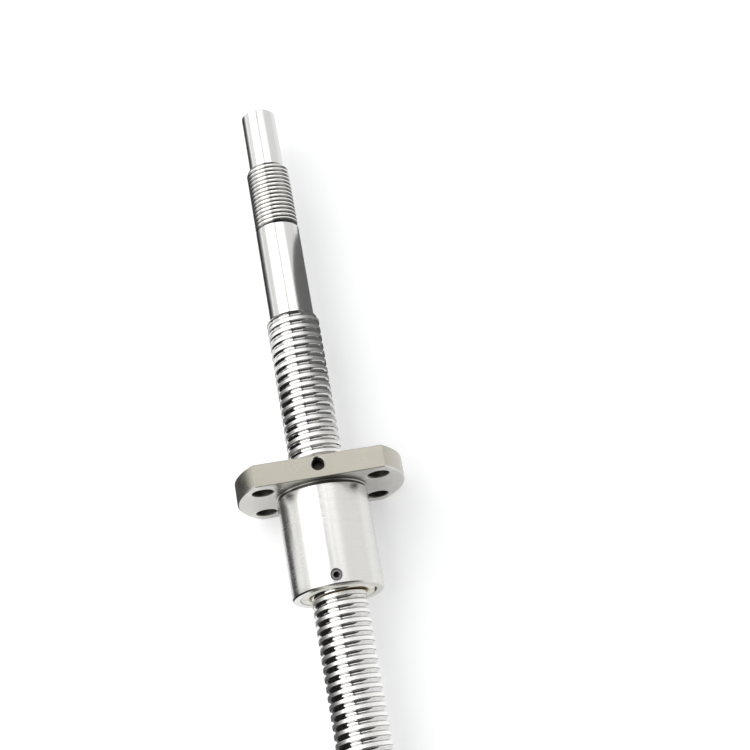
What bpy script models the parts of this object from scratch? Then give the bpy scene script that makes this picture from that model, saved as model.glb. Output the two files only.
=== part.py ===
"""A miniature ball screw: a 12 mm screw shaft with a 2 mm lead, and a flanged nut with four ball circuits.

The axis lies along X with the drive end at +X. The nut's flange is on its drive side, and +Z is the
normal of the flange flat with the oil hole. The part lies on the other flat, at Z = 0, and X = 0 is
the middle of its length. Angles run about X, from +Y towards +Z.
"""

import math

import bmesh
import bpy
from mathutils import Matrix, Vector

MM = 0.001
TURN = 2 * math.pi
UPWARDS = TURN / 4

# Ball thread, shared by the shaft, the nut, the inserts and the balls
LEAD = 2.0 * MM
BALL_DIAMETER = 1.2 * MM
BALL_CIRCLE_DIAMETER = 12.2 * MM
GROOVE_CLEARANCE = 0.08 * MM
GROOVE_BOTTOM_WIDTH = 0.6 * MM
FIRST_LAND_FROM_SHOULDER = 0.56 * MM

# Screw shaft, from the drive end down
SCREW_DIAMETER = 11.9 * MM
DRIVE_END_DIAMETER = 8.0 * MM
DRIVE_END_LENGTH = 15.0 * MM
LOCKNUT_THREAD_DIAMETER = 9.9 * MM
LOCKNUT_THREAD_LENGTH = 16.0 * MM
BEARING_JOURNAL_DIAMETER = 10.0 * MM
BEARING_JOURNAL_LENGTH = 23.0 * MM
BALL_THREAD_LENGTH = 116.0 * MM
FAR_JOURNAL_DIAMETER = 8.0 * MM
FAR_JOURNAL_LENGTH = 10.0 * MM
CIRCLIP_GROOVE_DIAMETER = 7.6 * MM
CIRCLIP_GROOVE_WIDTH = 0.9 * MM
CIRCLIP_GROOVE_FROM_SHOULDER = 7.9 * MM
SHAFT_CHAMFER = 0.5 * MM
CENTRE_HOLE_DIAMETER = 2.5 * MM
CENTRE_HOLE_ANGLE = math.radians(60)

# Nut body
NUT_FROM_SHOULDER = 37.0 * MM
NUT_LENGTH = 28.0 * MM
BARREL_DIAMETER = 20.0 * MM
BARREL_CHAMFER = 0.3 * MM
FLANGE_DIAMETER = 37.0 * MM
FLANGE_THICKNESS = 5.0 * MM
FLANGE_CHAMFER = 0.25 * MM
ACROSS_FLATS = 24.0 * MM
NECK_GROOVE_WIDTH = 0.8 * MM
NECK_GROOVE_DEPTH = 0.3 * MM
LAND_CLEARANCE = 0.25 * MM
BOLT_HOLE_DIAMETER = 4.5 * MM
BOLT_CIRCLE_DIAMETER = 29.0 * MM
BOLT_ANGLE = math.radians(30)
HOLE_CHAMFER = 0.2 * MM
OIL_HOLE_DIAMETER = 2.75 * MM
OIL_HOLE_FROM_FACE = 1.9 * MM
OIL_HOLE_DEPTH = 3.0 * MM
OIL_PASSAGE_DIAMETER = 1.2 * MM

# Wipers and the set screw of the end wiper
WIPER_SEAT_DIAMETER = 16.6 * MM
WIPER_CLEARANCE = 0.1 * MM
WIPER_BORE_CLEARANCE = 0.2 * MM
WIPER_CHAMFER = 0.4 * MM
END_WIPER_THICKNESS = 3.0 * MM
FLANGE_WIPER_THICKNESS = 0.9 * MM
WIPER_NOTCH_WIDTH = 4.0 * MM
WIPER_NOTCH_DEPTH = 0.55 * MM
WIPER_NOTCH_ANGLE = math.radians(182)
WIPER_SLIT_WIDTH = 0.3 * MM
WIPER_SLIT_DEPTH = 0.6 * MM
SET_SCREW_DIAMETER = 2.4 * MM
SET_SCREW_CLEARANCE = 0.06 * MM
SET_SCREW_FROM_END = 2.1 * MM
SET_SCREW_RECESS = 0.3 * MM
SET_SCREW_SOCKET = 1.3 * MM
SET_SCREW_SOCKET_DEPTH = 0.8 * MM

# Ball circuits, each closed by a return insert on the hidden side of the barrel
CIRCUITS = 4
RETURN_BALLS = 3
FIRST_INSERT_ANGLE = math.radians(315)
INSERT_ANGLE_STEP = math.radians(-30)
INSERT_WALL = 0.6 * MM
INSERT_CLEARANCE = 0.1 * MM
INSERT_RECESS = 0.2 * MM
INSERT_MARGIN = 0.4 * MM

CHANNEL_LEAD_IN = math.radians(14)

# Shares of a ball's radius that shape the chain of a loaded row
ROW_NECK_SHARE = 0.25
ROW_RING_SHARE = 0.5

# How far a cutter runs past the face that it opens, and how steep an edge has to be to stay sharp
CUT_OVERRUN = 0.3 * MM
SHARP_ANGLE = math.radians(40)

# Facets round a full circle
THREAD_FACETS = 12
JOURNAL_FACETS = 32
NUT_FACETS = 48
BORE_FACETS = 16
HOLE_FACETS = 16
BALL_FACETS = 5
RETURN_BALL_FACETS = 8
SOCKET_SIDES = 6
CHANNEL_SIDES = 6
CHANNEL_STEPS = 10
ROUND_END_STEPS = 5

# Places and radii that follow from the sizes above
LENGTH = (
    DRIVE_END_LENGTH
    + LOCKNUT_THREAD_LENGTH
    + BEARING_JOURNAL_LENGTH
    + BALL_THREAD_LENGTH
    + FAR_JOURNAL_LENGTH
)
TIP_X = LENGTH / 2
SHOULDER_X = TIP_X - DRIVE_END_LENGTH - LOCKNUT_THREAD_LENGTH - BEARING_JOURNAL_LENGTH
THREAD_END_X = SHOULDER_X - BALL_THREAD_LENGTH
FLANGE_FACE_X = SHOULDER_X - NUT_FROM_SHOULDER
FLANGE_BACK_X = FLANGE_FACE_X - FLANGE_THICKNESS
BARREL_START_X = FLANGE_BACK_X - NECK_GROOVE_WIDTH
NUT_END_X = FLANGE_FACE_X - NUT_LENGTH
FLANGE_SEAT_X = FLANGE_FACE_X - FLANGE_WIPER_THICKNESS - WIPER_CLEARANCE
END_SEAT_X = NUT_END_X + END_WIPER_THICKNESS
AXIS_HEIGHT = ACROSS_FLATS / 2

BALL_RADIUS = BALL_DIAMETER / 2
BALL_CIRCLE = BALL_CIRCLE_DIAMETER / 2
CHANNEL_RADIUS = BALL_RADIUS + GROOVE_CLEARANCE
SCREW_RADIUS = SCREW_DIAMETER / 2
SCREW_GROOVE_BOTTOM = BALL_CIRCLE - CHANNEL_RADIUS
BORE_RADIUS = SCREW_RADIUS + LAND_CLEARANCE
NUT_GROOVE_BOTTOM = BALL_CIRCLE + CHANNEL_RADIUS
PILOT_RADIUS = SCREW_GROOVE_BOTTOM
SEAT_RADIUS = WIPER_SEAT_DIAMETER / 2
WIPER_RADIUS = SEAT_RADIUS - WIPER_CLEARANCE
WIPER_BORE = SCREW_RADIUS + WIPER_BORE_CLEARANCE
BARREL_RADIUS = BARREL_DIAMETER / 2
RETURN_CIRCLE = SCREW_RADIUS + CHANNEL_RADIUS
RETURN_HALF_ANGLE = (RETURN_BALLS + 1) * BALL_DIAMETER / (BALL_CIRCLE + RETURN_CIRCLE)
RETURN_SHIFT = LEAD * (1 - 2 * RETURN_HALF_ANGLE / TURN)
INSERT_TILT = math.atan2(RETURN_SHIFT, 2 * RETURN_HALF_ANGLE * BALL_CIRCLE)
INSERT_RADIUS = CHANNEL_RADIUS + INSERT_WALL + GROOVE_CLEARANCE
INSERT_REACH = math.hypot(RETURN_HALF_ANGLE * BALL_CIRCLE, RETURN_SHIFT / 2) + BALL_RADIUS

STEEL = ("bearing_steel", (0.60, 0.59, 0.57), 0.28, 1.0)
FLANGE_STEEL = ("ground_steel", (0.56, 0.55, 0.52), 0.34, 1.0)
BALL_STEEL = ("ball_steel", (0.68, 0.68, 0.69), 0.08, 1.0)
INSERT_STEEL = ("insert_steel", (0.33, 0.32, 0.31), 0.45, 1.0)
BLACK_STEEL = ("black_oxide_steel", (0.05, 0.05, 0.055), 0.42, 1.0)
IVORY_PLASTIC = ("ivory_plastic", (0.83, 0.80, 0.71), 0.42, 0.0)

for old in list(bpy.data.objects):
    bpy.data.objects.remove(old)


def material(finish):
    """The Principled material of a finish, made once."""
    name, colour, roughness, metallic = finish
    made = bpy.data.materials.get(name)
    if made is None:
        made = bpy.data.materials.new(name)
        made.use_nodes = True
        shader = made.node_tree.nodes["Principled BSDF"]
        shader.inputs["Base Color"].default_value = (*colour, 1.0)
        shader.inputs["Roughness"].default_value = roughness
        shader.inputs["Metallic"].default_value = metallic
    return made


def pivot(name, place, parent=None):
    """An empty on the screw's axis, which carries the pieces that move together."""
    made = bpy.data.objects.new(name, None)
    made.location = place
    made.parent = parent
    bpy.context.collection.objects.link(made)
    return made


def object_of(name, bm, parent, place=Matrix(), twisted=False):
    """An object from a finished bmesh, with its faces pointing out, and triangles where faces twist."""
    bmesh.ops.recalc_face_normals(bm, faces=bm.faces)
    if twisted:
        bmesh.ops.triangulate(bm, faces=bm.faces)
    mesh = bpy.data.meshes.new(name)
    bm.to_mesh(mesh)
    bm.free()
    made = bpy.data.objects.new(name, mesh)
    made.parent = parent
    made.matrix_local = place
    bpy.context.collection.objects.link(made)
    return made


def piece(made, finish):
    """Gives a node its material and smooth shading with sharp edges."""
    made.data.materials.append(material(finish))
    made.data.shade_smooth()
    made.data.set_sharp_from_angle(angle=SHARP_ANGLE)
    return made


def combine(target, other, operation, solver="EXACT"):
    """Joins a helper to a piece or cuts it away. The helper isn't rendered."""
    other.hide_render = True
    other.display_type = "WIRE"
    modifier = target.modifiers.new(other.name, "BOOLEAN")
    modifier.object = other
    modifier.operation = operation
    modifier.solver = solver


def spun(name, outline, facets, parent, place=Matrix(), closed=False, start=0.0):
    """A turned solid: an outline of (x, radius) points, spun about the X axis from a start angle."""
    bm = bmesh.new()
    turned = Matrix.Rotation(start, 3, "X")
    points = [bm.verts.new(turned @ Vector((x, radius, 0))) for x, radius in outline]
    pairs = list(zip(points, points[1:]))
    if closed:
        pairs.append((points[-1], points[0]))
    edges = [bm.edges.new(pair) for pair in pairs]
    bmesh.ops.spin(
        bm,
        geom=points + edges,
        cent=(0, 0, 0),
        axis=(1, 0, 0),
        angle=TURN,
        steps=facets,
        use_merge=True,
    )
    bmesh.ops.remove_doubles(bm, verts=bm.verts, dist=0.0001 * MM)
    return object_of(name, bm, parent, place)


def threaded_bar(name, land_radius, bottom_radius, from_x, to_x, facets, parent):
    """A round bar with the ball groove along it, cut square at both ends."""
    drop = BALL_CIRCLE - land_radius
    half = math.sqrt(CHANNEL_RADIUS**2 - drop**2) + GROOVE_CLEARANCE / 2
    floor = GROOVE_BOTTOM_WIDTH / 2
    section = [
        (-half, land_radius),
        (-floor, bottom_radius),
        (floor, bottom_radius),
        (half, land_radius),
    ]
    first = turns_at(from_x) - 2
    steps = (turns_at(to_x) + 2 - first) * facets
    bm = bmesh.new()
    lines = []
    for along, radius in section:
        line = []
        for step in range(steps + 1):
            point = groove_point(TURN * (first + step / facets), radius)
            line.append(bm.verts.new(point + Vector((along, 0, 0))))
        lines.append(line)
    lines.append(lines[0][facets:])
    for line, after in zip(lines, lines[1:]):
        for step in range(min(len(line), len(after)) - 1):
            bm.faces.new((line[step], after[step], after[step + 1], line[step + 1]))
    bmesh.ops.triangulate(bm, faces=bm.faces)
    for x, outwards in ((from_x, -1), (to_x, 1)):
        bmesh.ops.bisect_plane(
            bm,
            geom=bm.verts[:] + bm.edges[:] + bm.faces[:],
            plane_co=(x, 0, 0),
            plane_no=(outwards, 0, 0),
            clear_outer=True,
        )
    bmesh.ops.holes_fill(bm, edges=[edge for edge in bm.edges if edge.is_boundary], sides=0)
    return object_of(name, bm, parent)


def groove_x(turns):
    """Where the middle of the groove is on the axis, this many turns along the helix."""
    return SHOULDER_X - FIRST_LAND_FROM_SHOULDER + LEAD / 2 + LEAD * turns


def turns_at(x):
    """The first whole number of turns at which the groove is past this place on the axis."""
    return math.ceil((x - groove_x(0)) / LEAD)


def groove_point(angle, radius=BALL_CIRCLE):
    """A point of the helix at an angle counted from the first turn on."""
    return Vector(
        (groove_x(angle / TURN), radius * math.cos(angle), radius * math.sin(angle))
    )


def radial_place(x, angle, radius=0.0):
    """A frame whose X points outwards from the axis, Y round it and Z along it."""
    out = Vector((0, math.cos(angle), math.sin(angle)))
    along = Vector((1, 0, 0))
    across = along.cross(out)
    frame = Matrix((out, across, along)).transposed().to_4x4()
    frame.translation = along * x + out * radius
    return frame


def tube(name, path, radii, sides, parent):
    """A round bar along a path of points, with its own radius at each one."""
    bm = bmesh.new()
    rings = []
    for i, (point, radius) in enumerate(zip(path, radii)):
        ahead = path[min(i + 1, len(path) - 1)] - path[max(i - 1, 0)]
        ahead.normalize()
        out = Vector((0, point.y, point.z)).normalized()
        side = ahead.cross(out).normalized()
        out = side.cross(ahead)
        ring = []
        for j in range(sides):
            angle = TURN * (j + 0.5) / sides
            ring.append(bm.verts.new(point + radius * (math.cos(angle) * out + math.sin(angle) * side)))
        rings.append(ring)
    for ring, after in zip(rings, rings[1:]):
        for j in range(sides):
            k = (j + 1) % sides
            bm.faces.new((ring[j], ring[k], after[k], after[j]))
    bm.faces.new(rings[0])
    bm.faces.new(rings[-1])
    return object_of(name, bm, parent, twisted=True)


def obround_bar(name, half_length, radius, height, parent, place):
    """A bar with an obround section, its length turned by the insert's tilt, standing on X."""
    bm = bmesh.new()
    reach = half_length - radius
    outline = []
    for end in (1, -1):
        for i in range(ROUND_END_STEPS + 1):
            angle = math.pi * (i / ROUND_END_STEPS - 0.5)
            across = end * (reach + radius * math.cos(angle))
            along = end * radius * math.sin(angle)
            outline.append(Vector((0, across, along)))
    tilt = Matrix.Rotation(-INSERT_TILT, 3, "X")
    face = bm.faces.new([bm.verts.new(tilt @ point) for point in outline])
    raised = bmesh.ops.extrude_face_region(bm, geom=[face], use_keep_orig=True)["geom"]
    top = [item for item in raised if isinstance(item, bmesh.types.BMVert)]
    bmesh.ops.translate(bm, verts=top, vec=(height, 0, 0))
    return object_of(name, bm, parent, place)


def end_face(x, radius, inwards):
    """The outline points of a shaft end with its centre hole and chamfer."""
    hole = CENTRE_HOLE_DIAMETER / 2
    depth = hole / math.tan(CENTRE_HOLE_ANGLE / 2)
    return [
        (x + inwards * depth, 0),
        (x, hole),
        (x, radius - SHAFT_CHAMFER),
        (x + inwards * SHAFT_CHAMFER, radius),
    ]


def make_shaft(parent):
    """One bar: the grooved part, with the turned drive end and far end joined to it."""
    chamfer = SHAFT_CHAMFER
    drive = DRIVE_END_DIAMETER / 2
    locknut = LOCKNUT_THREAD_DIAMETER / 2
    journal = BEARING_JOURNAL_DIAMETER / 2
    locknut_x = TIP_X - DRIVE_END_LENGTH
    journal_x = locknut_x - LOCKNUT_THREAD_LENGTH
    shaft = threaded_bar(
        "screw_shaft",
        SCREW_RADIUS,
        SCREW_GROOVE_BOTTOM,
        THREAD_END_X,
        SHOULDER_X,
        THREAD_FACETS,
        parent,
    )
    piece(shaft, STEEL)
    inside = 2 * chamfer
    drive_end = [
        (SHOULDER_X - inside, 0),
        (SHOULDER_X - inside, journal),
        (journal_x + chamfer, journal),
        (journal_x + chamfer, locknut),
        (locknut_x - chamfer, locknut),
        (locknut_x, locknut - chamfer),
        (locknut_x, drive),
    ] + end_face(TIP_X, drive, -1)[::-1]
    combine(shaft, spun("shaft_drive_end", drive_end, JOURNAL_FACETS, parent), "UNION")
    far = FAR_JOURNAL_DIAMETER / 2
    circlip = CIRCLIP_GROOVE_DIAMETER / 2
    circlip_x = THREAD_END_X - CIRCLIP_GROOVE_FROM_SHOULDER
    far_end = end_face(THREAD_END_X - FAR_JOURNAL_LENGTH, far, 1) + [
        (circlip_x - CIRCLIP_GROOVE_WIDTH, far),
        (circlip_x - CIRCLIP_GROOVE_WIDTH, circlip),
        (circlip_x, circlip),
        (circlip_x, far),
        (THREAD_END_X + inside, far),
        (THREAD_END_X + inside, 0),
    ]
    combine(shaft, spun("shaft_far_end", far_end, JOURNAL_FACETS, parent), "UNION")
    return shaft


def radial_hole(name, x, inner, outer, radius, chamfer, parent):
    """A cutter for a hole from above towards the axis, with a chamfer at its mouth."""
    outline = [
        (inner, 0),
        (inner, radius),
        (outer - chamfer, radius),
        (outer + CUT_OVERRUN, radius + chamfer + CUT_OVERRUN),
        (outer + CUT_OVERRUN, 0),
    ]
    half_facet = TURN / HOLE_FACETS / 2
    return spun(name, outline, HOLE_FACETS, parent, radial_place(x, UPWARDS), start=half_facet)


def nut_blank(parent):
    """The nut body as turned: flange, neck groove, barrel, both wiper seats and a pilot bore."""
    flange = FLANGE_DIAMETER / 2
    neck = BARREL_RADIUS - NECK_GROOVE_DEPTH
    outline = [
        (FLANGE_FACE_X, SEAT_RADIUS),
        (FLANGE_FACE_X, flange - FLANGE_CHAMFER),
        (FLANGE_FACE_X - FLANGE_CHAMFER, flange),
        (FLANGE_BACK_X + FLANGE_CHAMFER, flange),
        (FLANGE_BACK_X, flange - FLANGE_CHAMFER),
        (FLANGE_BACK_X, neck),
        (BARREL_START_X, neck),
        (BARREL_START_X, BARREL_RADIUS),
        (NUT_END_X + BARREL_CHAMFER, BARREL_RADIUS),
        (NUT_END_X, BARREL_RADIUS - BARREL_CHAMFER),
        (NUT_END_X, SEAT_RADIUS),
        (END_SEAT_X, SEAT_RADIUS),
        (END_SEAT_X, PILOT_RADIUS),
        (FLANGE_SEAT_X, PILOT_RADIUS),
        (FLANGE_SEAT_X, SEAT_RADIUS),
    ]
    return piece(spun("nut_body", outline, NUT_FACETS, parent, closed=True), FLANGE_STEEL)


def cut_flats(nut, parent):
    """Two flats across the flange, which leave the barrel alone."""
    block = Vector((2 * FLANGE_THICKNESS, 1.2 * FLANGE_DIAMETER, FLANGE_DIAMETER))
    block_x = FLANGE_BACK_X - NECK_GROOVE_WIDTH / 2 + block.x / 2
    block_z = (ACROSS_FLATS + block.z) / 2
    for name, side in (("upper_flat_cutter", 1), ("lower_flat_cutter", -1)):
        bm = bmesh.new()
        bmesh.ops.create_cube(bm, size=1, matrix=Matrix.Diagonal((*block, 1)))
        place = Matrix.Translation((block_x, 0, side * block_z))
        combine(nut, object_of(name, bm, parent, place), "DIFFERENCE")


def cut_bolt_holes(nut, parent):
    """Four bolt holes through the flange, chamfered on both faces."""
    radius = BOLT_HOLE_DIAMETER / 2
    wide = radius + 2 * HOLE_CHAMFER
    outline = [
        (FLANGE_BACK_X - HOLE_CHAMFER, 0),
        (FLANGE_BACK_X - HOLE_CHAMFER, wide),
        (FLANGE_BACK_X + HOLE_CHAMFER, radius),
        (FLANGE_FACE_X - HOLE_CHAMFER, radius),
        (FLANGE_FACE_X + HOLE_CHAMFER, wide),
        (FLANGE_FACE_X + HOLE_CHAMFER, 0),
    ]
    angles = (BOLT_ANGLE, math.pi - BOLT_ANGLE, math.pi + BOLT_ANGLE, -BOLT_ANGLE)
    for number, angle in enumerate(angles, 1):
        out = Vector((0, math.cos(angle), math.sin(angle))) * BOLT_CIRCLE_DIAMETER / 2
        name = f"bolt_hole_cutter_{number}"
        cutter = spun(name, outline, HOLE_FACETS, parent, Matrix.Translation(out))
        combine(nut, cutter, "DIFFERENCE")


def cut_radial_holes(nut, parent):
    """The oil hole in the upper flat with its passage to the bore, and the set screw's hole."""
    oil_x = FLANGE_FACE_X - OIL_HOLE_FROM_FACE
    top = ACROSS_FLATS / 2
    floor = top - OIL_HOLE_DEPTH
    oil = radial_hole("oil_hole_cutter", oil_x, floor, top, OIL_HOLE_DIAMETER / 2, HOLE_CHAMFER, parent)
    combine(nut, oil, "DIFFERENCE")
    passage = radial_hole(
        "oil_passage_cutter",
        oil_x,
        PILOT_RADIUS - CUT_OVERRUN,
        floor,
        OIL_PASSAGE_DIAMETER / 2,
        0.0,
        parent,
    )
    combine(nut, passage, "DIFFERENCE")
    screw_hole = radial_hole(
        "set_screw_hole_cutter",
        NUT_END_X + SET_SCREW_FROM_END,
        WIPER_RADIUS - CUT_OVERRUN,
        BARREL_RADIUS,
        SET_SCREW_DIAMETER / 2 + SET_SCREW_CLEARANCE,
        HOLE_CHAMFER / 2,
        parent,
    )
    combine(nut, screw_hole, "DIFFERENCE", "MANIFOLD")


def make_nut(parent):
    """The nut body: a turned blank with its flats and holes, and the ball groove along its bore."""
    nut = nut_blank(parent)
    cut_flats(nut, parent)
    cut_bolt_holes(nut, parent)
    cut_radial_holes(nut, parent)
    thread = threaded_bar(
        "threaded_bore_cutter",
        BORE_RADIUS,
        NUT_GROOVE_BOTTOM,
        END_SEAT_X - CUT_OVERRUN,
        FLANGE_SEAT_X + CUT_OVERRUN,
        BORE_FACETS,
        parent,
    )
    combine(nut, thread, "DIFFERENCE", "MANIFOLD")
    return nut


def insert_places():
    """(angle along the helix, place on the axis) of each insert's middle, on a land between two grooves."""
    axial_reach = INSERT_RADIUS + (INSERT_REACH - INSERT_RADIUS) * math.sin(INSERT_TILT)
    highest = BARREL_START_X - INSERT_MARGIN - axial_reach
    lowest = END_SEAT_X + axial_reach
    turn_part = FIRST_INSERT_ANGLE / TURN
    turns = math.floor((highest - LEAD / 2 - groove_x(turn_part)) / LEAD) + turn_part
    room = (groove_x(turns) + LEAD / 2 - lowest) / LEAD
    step_part = INSERT_ANGLE_STEP / TURN
    step = max(1, math.floor(room / (CIRCUITS - 1) + step_part)) - step_part
    for circuit in range(CIRCUITS):
        at = turns - circuit * step
        yield at * TURN, groove_x(at) + LEAD / 2


def return_point(start, t):
    """A point of the return path over one land, t from -1 to 1, where the circuit starts at this angle."""
    angle = start + TURN + RETURN_HALF_ANGLE * t
    middle = groove_x(start / TURN) + LEAD / 2
    x = middle - RETURN_SHIFT / 2 * math.sin(math.pi / 2 * t)
    radius = BALL_CIRCLE + (RETURN_CIRCLE - BALL_CIRCLE) * (1 - t**4)
    return Vector((x, radius * math.cos(angle), radius * math.sin(angle)))


def insert_block(name, growth, x, angle, parent):
    """The obround block that fills a window of the barrel or, with some growth, the window's cutter."""
    base = BORE_RADIUS - BALL_DIAMETER
    height = BARREL_RADIUS - base + BALL_DIAMETER
    reach = INSERT_REACH + growth
    return obround_bar(name, reach, INSERT_RADIUS + growth, height, parent, radial_place(x, angle, base))


def make_insert(number, start, x, limits, parent):
    """A return insert: its block, flush with barrel and bore, with the channel over one land."""
    insert = piece(insert_block(f"return_insert_{number}", 0.0, x, start, parent), INSERT_STEEL)
    outside, inside = limits
    combine(insert, outside, "INTERSECT")
    combine(insert, inside, "DIFFERENCE")
    path = [groove_point(start + TURN - RETURN_HALF_ANGLE - CHANNEL_LEAD_IN)]
    path += [return_point(start, 2 * i / CHANNEL_STEPS - 1) for i in range(CHANNEL_STEPS + 1)]
    path.append(groove_point(start + RETURN_HALF_ANGLE + CHANNEL_LEAD_IN))
    radii = [CHANNEL_RADIUS] * len(path)
    channel = tube(f"channel_cutter_{number}", path, radii, CHANNEL_SIDES, parent)
    combine(insert, channel, "DIFFERENCE")


def make_loaded_row(number, start, parent):
    """The loaded balls of a circuit, which touch each other, as one chain with small necks."""
    pitch = BALL_DIAMETER / math.hypot(BALL_CIRCLE, LEAD / TURN)
    count = math.floor((TURN - 2 * RETURN_HALF_ANGLE) / pitch)
    neck = ROW_NECK_SHARE * BALL_RADIUS
    ring = BALL_RADIUS * math.sqrt(1 - ROW_RING_SHARE**2)
    first = start + TURN / 2 - (count - 1) / 2 * pitch
    path = [groove_point(first - pitch / 2)]
    radii = [neck]
    for i in range(count):
        for share, radius in ((-ROW_RING_SHARE, ring), (ROW_RING_SHARE, ring), (1, neck)):
            path.append(groove_point(first + (i + share / 2) * pitch))
            radii.append(radius)
    piece(tube(f"loaded_ball_row_{number}", path, radii, BALL_FACETS, parent), BALL_STEEL)


def make_return_balls(number, start, ball_mesh, parent):
    """The balls on their way through a return insert, each its own piece with a shared mesh."""
    for i in range(RETURN_BALLS):
        ball = bpy.data.objects.new(f"return_ball_{number}_{i + 1}", ball_mesh)
        ball.parent = parent
        ball.location = return_point(start, 2 * (i + 1) / (RETURN_BALLS + 1) - 1)
        bpy.context.collection.objects.link(ball)


def ball_mesh():
    """One small ball."""
    bm = bmesh.new()
    rows = RETURN_BALL_FACETS // 2
    bmesh.ops.create_uvsphere(bm, u_segments=RETURN_BALL_FACETS, v_segments=rows, radius=BALL_RADIUS)
    mesh = bpy.data.meshes.new("return_ball")
    bm.to_mesh(mesh)
    bm.free()
    mesh.materials.append(material(BALL_STEEL))
    mesh.shade_smooth()
    return mesh


def make_circuits(nut, parent):
    """Each ball circuit: a window in the barrel, its insert, the loaded row and the return balls."""
    shapes = (
        ("insert_outside", BARREL_RADIUS - INSERT_RECESS, NUT_FACETS),
        ("insert_bore_cutter", BORE_RADIUS, BORE_FACETS),
    )
    limits = []
    for name, radius, facets in shapes:
        outline = [(NUT_END_X, 0), (NUT_END_X, radius), (FLANGE_FACE_X, radius), (FLANGE_FACE_X, 0)]
        limits.append(spun(name, outline, facets, parent))
    mesh = ball_mesh()
    for number, (start, x) in enumerate(insert_places(), 1):
        window = insert_block(f"window_cutter_{number}", INSERT_CLEARANCE, x, start, parent)
        combine(nut, window, "DIFFERENCE", "MANIFOLD")
        make_insert(number, start, x, limits, parent)
        make_loaded_row(number, start, parent)
        make_return_balls(number, start, mesh, parent)


def make_wipers(nut_parent, carrier):
    """The end wiper, which turns with the nut, and the plain ring in the flange."""
    outer = NUT_END_X + WIPER_CLEARANCE
    inner = NUT_END_X + END_WIPER_THICKNESS - WIPER_CLEARANCE
    end = [
        (outer, WIPER_BORE + WIPER_CHAMFER),
        (outer, WIPER_RADIUS),
        (inner, WIPER_RADIUS),
        (inner, WIPER_BORE),
        (outer + WIPER_CHAMFER, WIPER_BORE),
    ]
    end_wiper = spun("end_wiper", end, NUT_FACETS, nut_parent, closed=True)
    piece(end_wiper, IVORY_PLASTIC)
    bm = bmesh.new()
    depth = 2 * WIPER_NOTCH_DEPTH
    size = (depth, WIPER_NOTCH_WIDTH, 3 * END_WIPER_THICKNESS, 1)
    bmesh.ops.create_cube(bm, size=1, matrix=Matrix.Diagonal(size))
    place = radial_place(NUT_END_X, WIPER_NOTCH_ANGLE, SEAT_RADIUS)
    combine(end_wiper, object_of("wiper_notch_cutter", bm, nut_parent, place), "DIFFERENCE")
    bm = bmesh.new()
    size = (3 * SEAT_RADIUS, WIPER_SLIT_WIDTH, 2 * WIPER_SLIT_DEPTH, 1)
    bmesh.ops.create_cube(bm, size=1, matrix=Matrix.Diagonal(size))
    place = radial_place(outer, WIPER_NOTCH_ANGLE)
    combine(end_wiper, object_of("wiper_slit_cutter", bm, nut_parent, place), "DIFFERENCE")

    near = FLANGE_FACE_X - WIPER_CLEARANCE / 2
    far = FLANGE_FACE_X - FLANGE_WIPER_THICKNESS
    flange = [
        (far, WIPER_BORE),
        (far, WIPER_RADIUS),
        (near, WIPER_RADIUS),
        (near, WIPER_BORE + WIPER_CHAMFER / 2),
        (near - WIPER_CHAMFER / 2, WIPER_BORE),
    ]
    flange_wiper = spun("flange_wiper", flange, NUT_FACETS, carrier, closed=True)
    piece(flange_wiper, IVORY_PLASTIC)


def make_set_screw(parent):
    """The socket set screw whose point holds the end wiper."""
    radius = SET_SCREW_DIAMETER / 2
    bottom = WIPER_RADIUS + SET_SCREW_CLEARANCE
    top = BARREL_RADIUS - SET_SCREW_RECESS
    chamfer = HOLE_CHAMFER / 2
    outline = [
        (bottom, 0),
        (bottom, radius - 2 * chamfer),
        (bottom + 2 * chamfer, radius),
        (top - chamfer, radius),
        (top, radius - chamfer),
        (top, 0),
    ]
    place = radial_place(NUT_END_X + SET_SCREW_FROM_END, UPWARDS)
    screw = piece(spun("wiper_set_screw", outline, HOLE_FACETS, parent, place), BLACK_STEEL)
    socket_radius = SET_SCREW_SOCKET / math.sqrt(3)
    depth = SET_SCREW_SOCKET_DEPTH
    socket = [
        (top - depth, 0),
        (top - depth, socket_radius),
        (top + depth, socket_radius),
        (top + depth, 0),
    ]
    combine(screw, spun("socket_cutter", socket, SOCKET_SIDES, parent, place), "DIFFERENCE")


screw_axis = pivot("screw_axis", (0, 0, AXIS_HEIGHT))
nut_slide = pivot("nut_slide", (0, 0, 0), screw_axis)
nut_spin = pivot("nut_spin", (0, 0, 0), nut_slide)

make_shaft(screw_axis)
nut_body = make_nut(nut_spin)
make_circuits(nut_body, nut_spin)
make_wipers(nut_spin, nut_slide)
make_set_screw(nut_spin)
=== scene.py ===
import math

import bmesh
import bpy
from mathutils import Matrix, Vector


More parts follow.
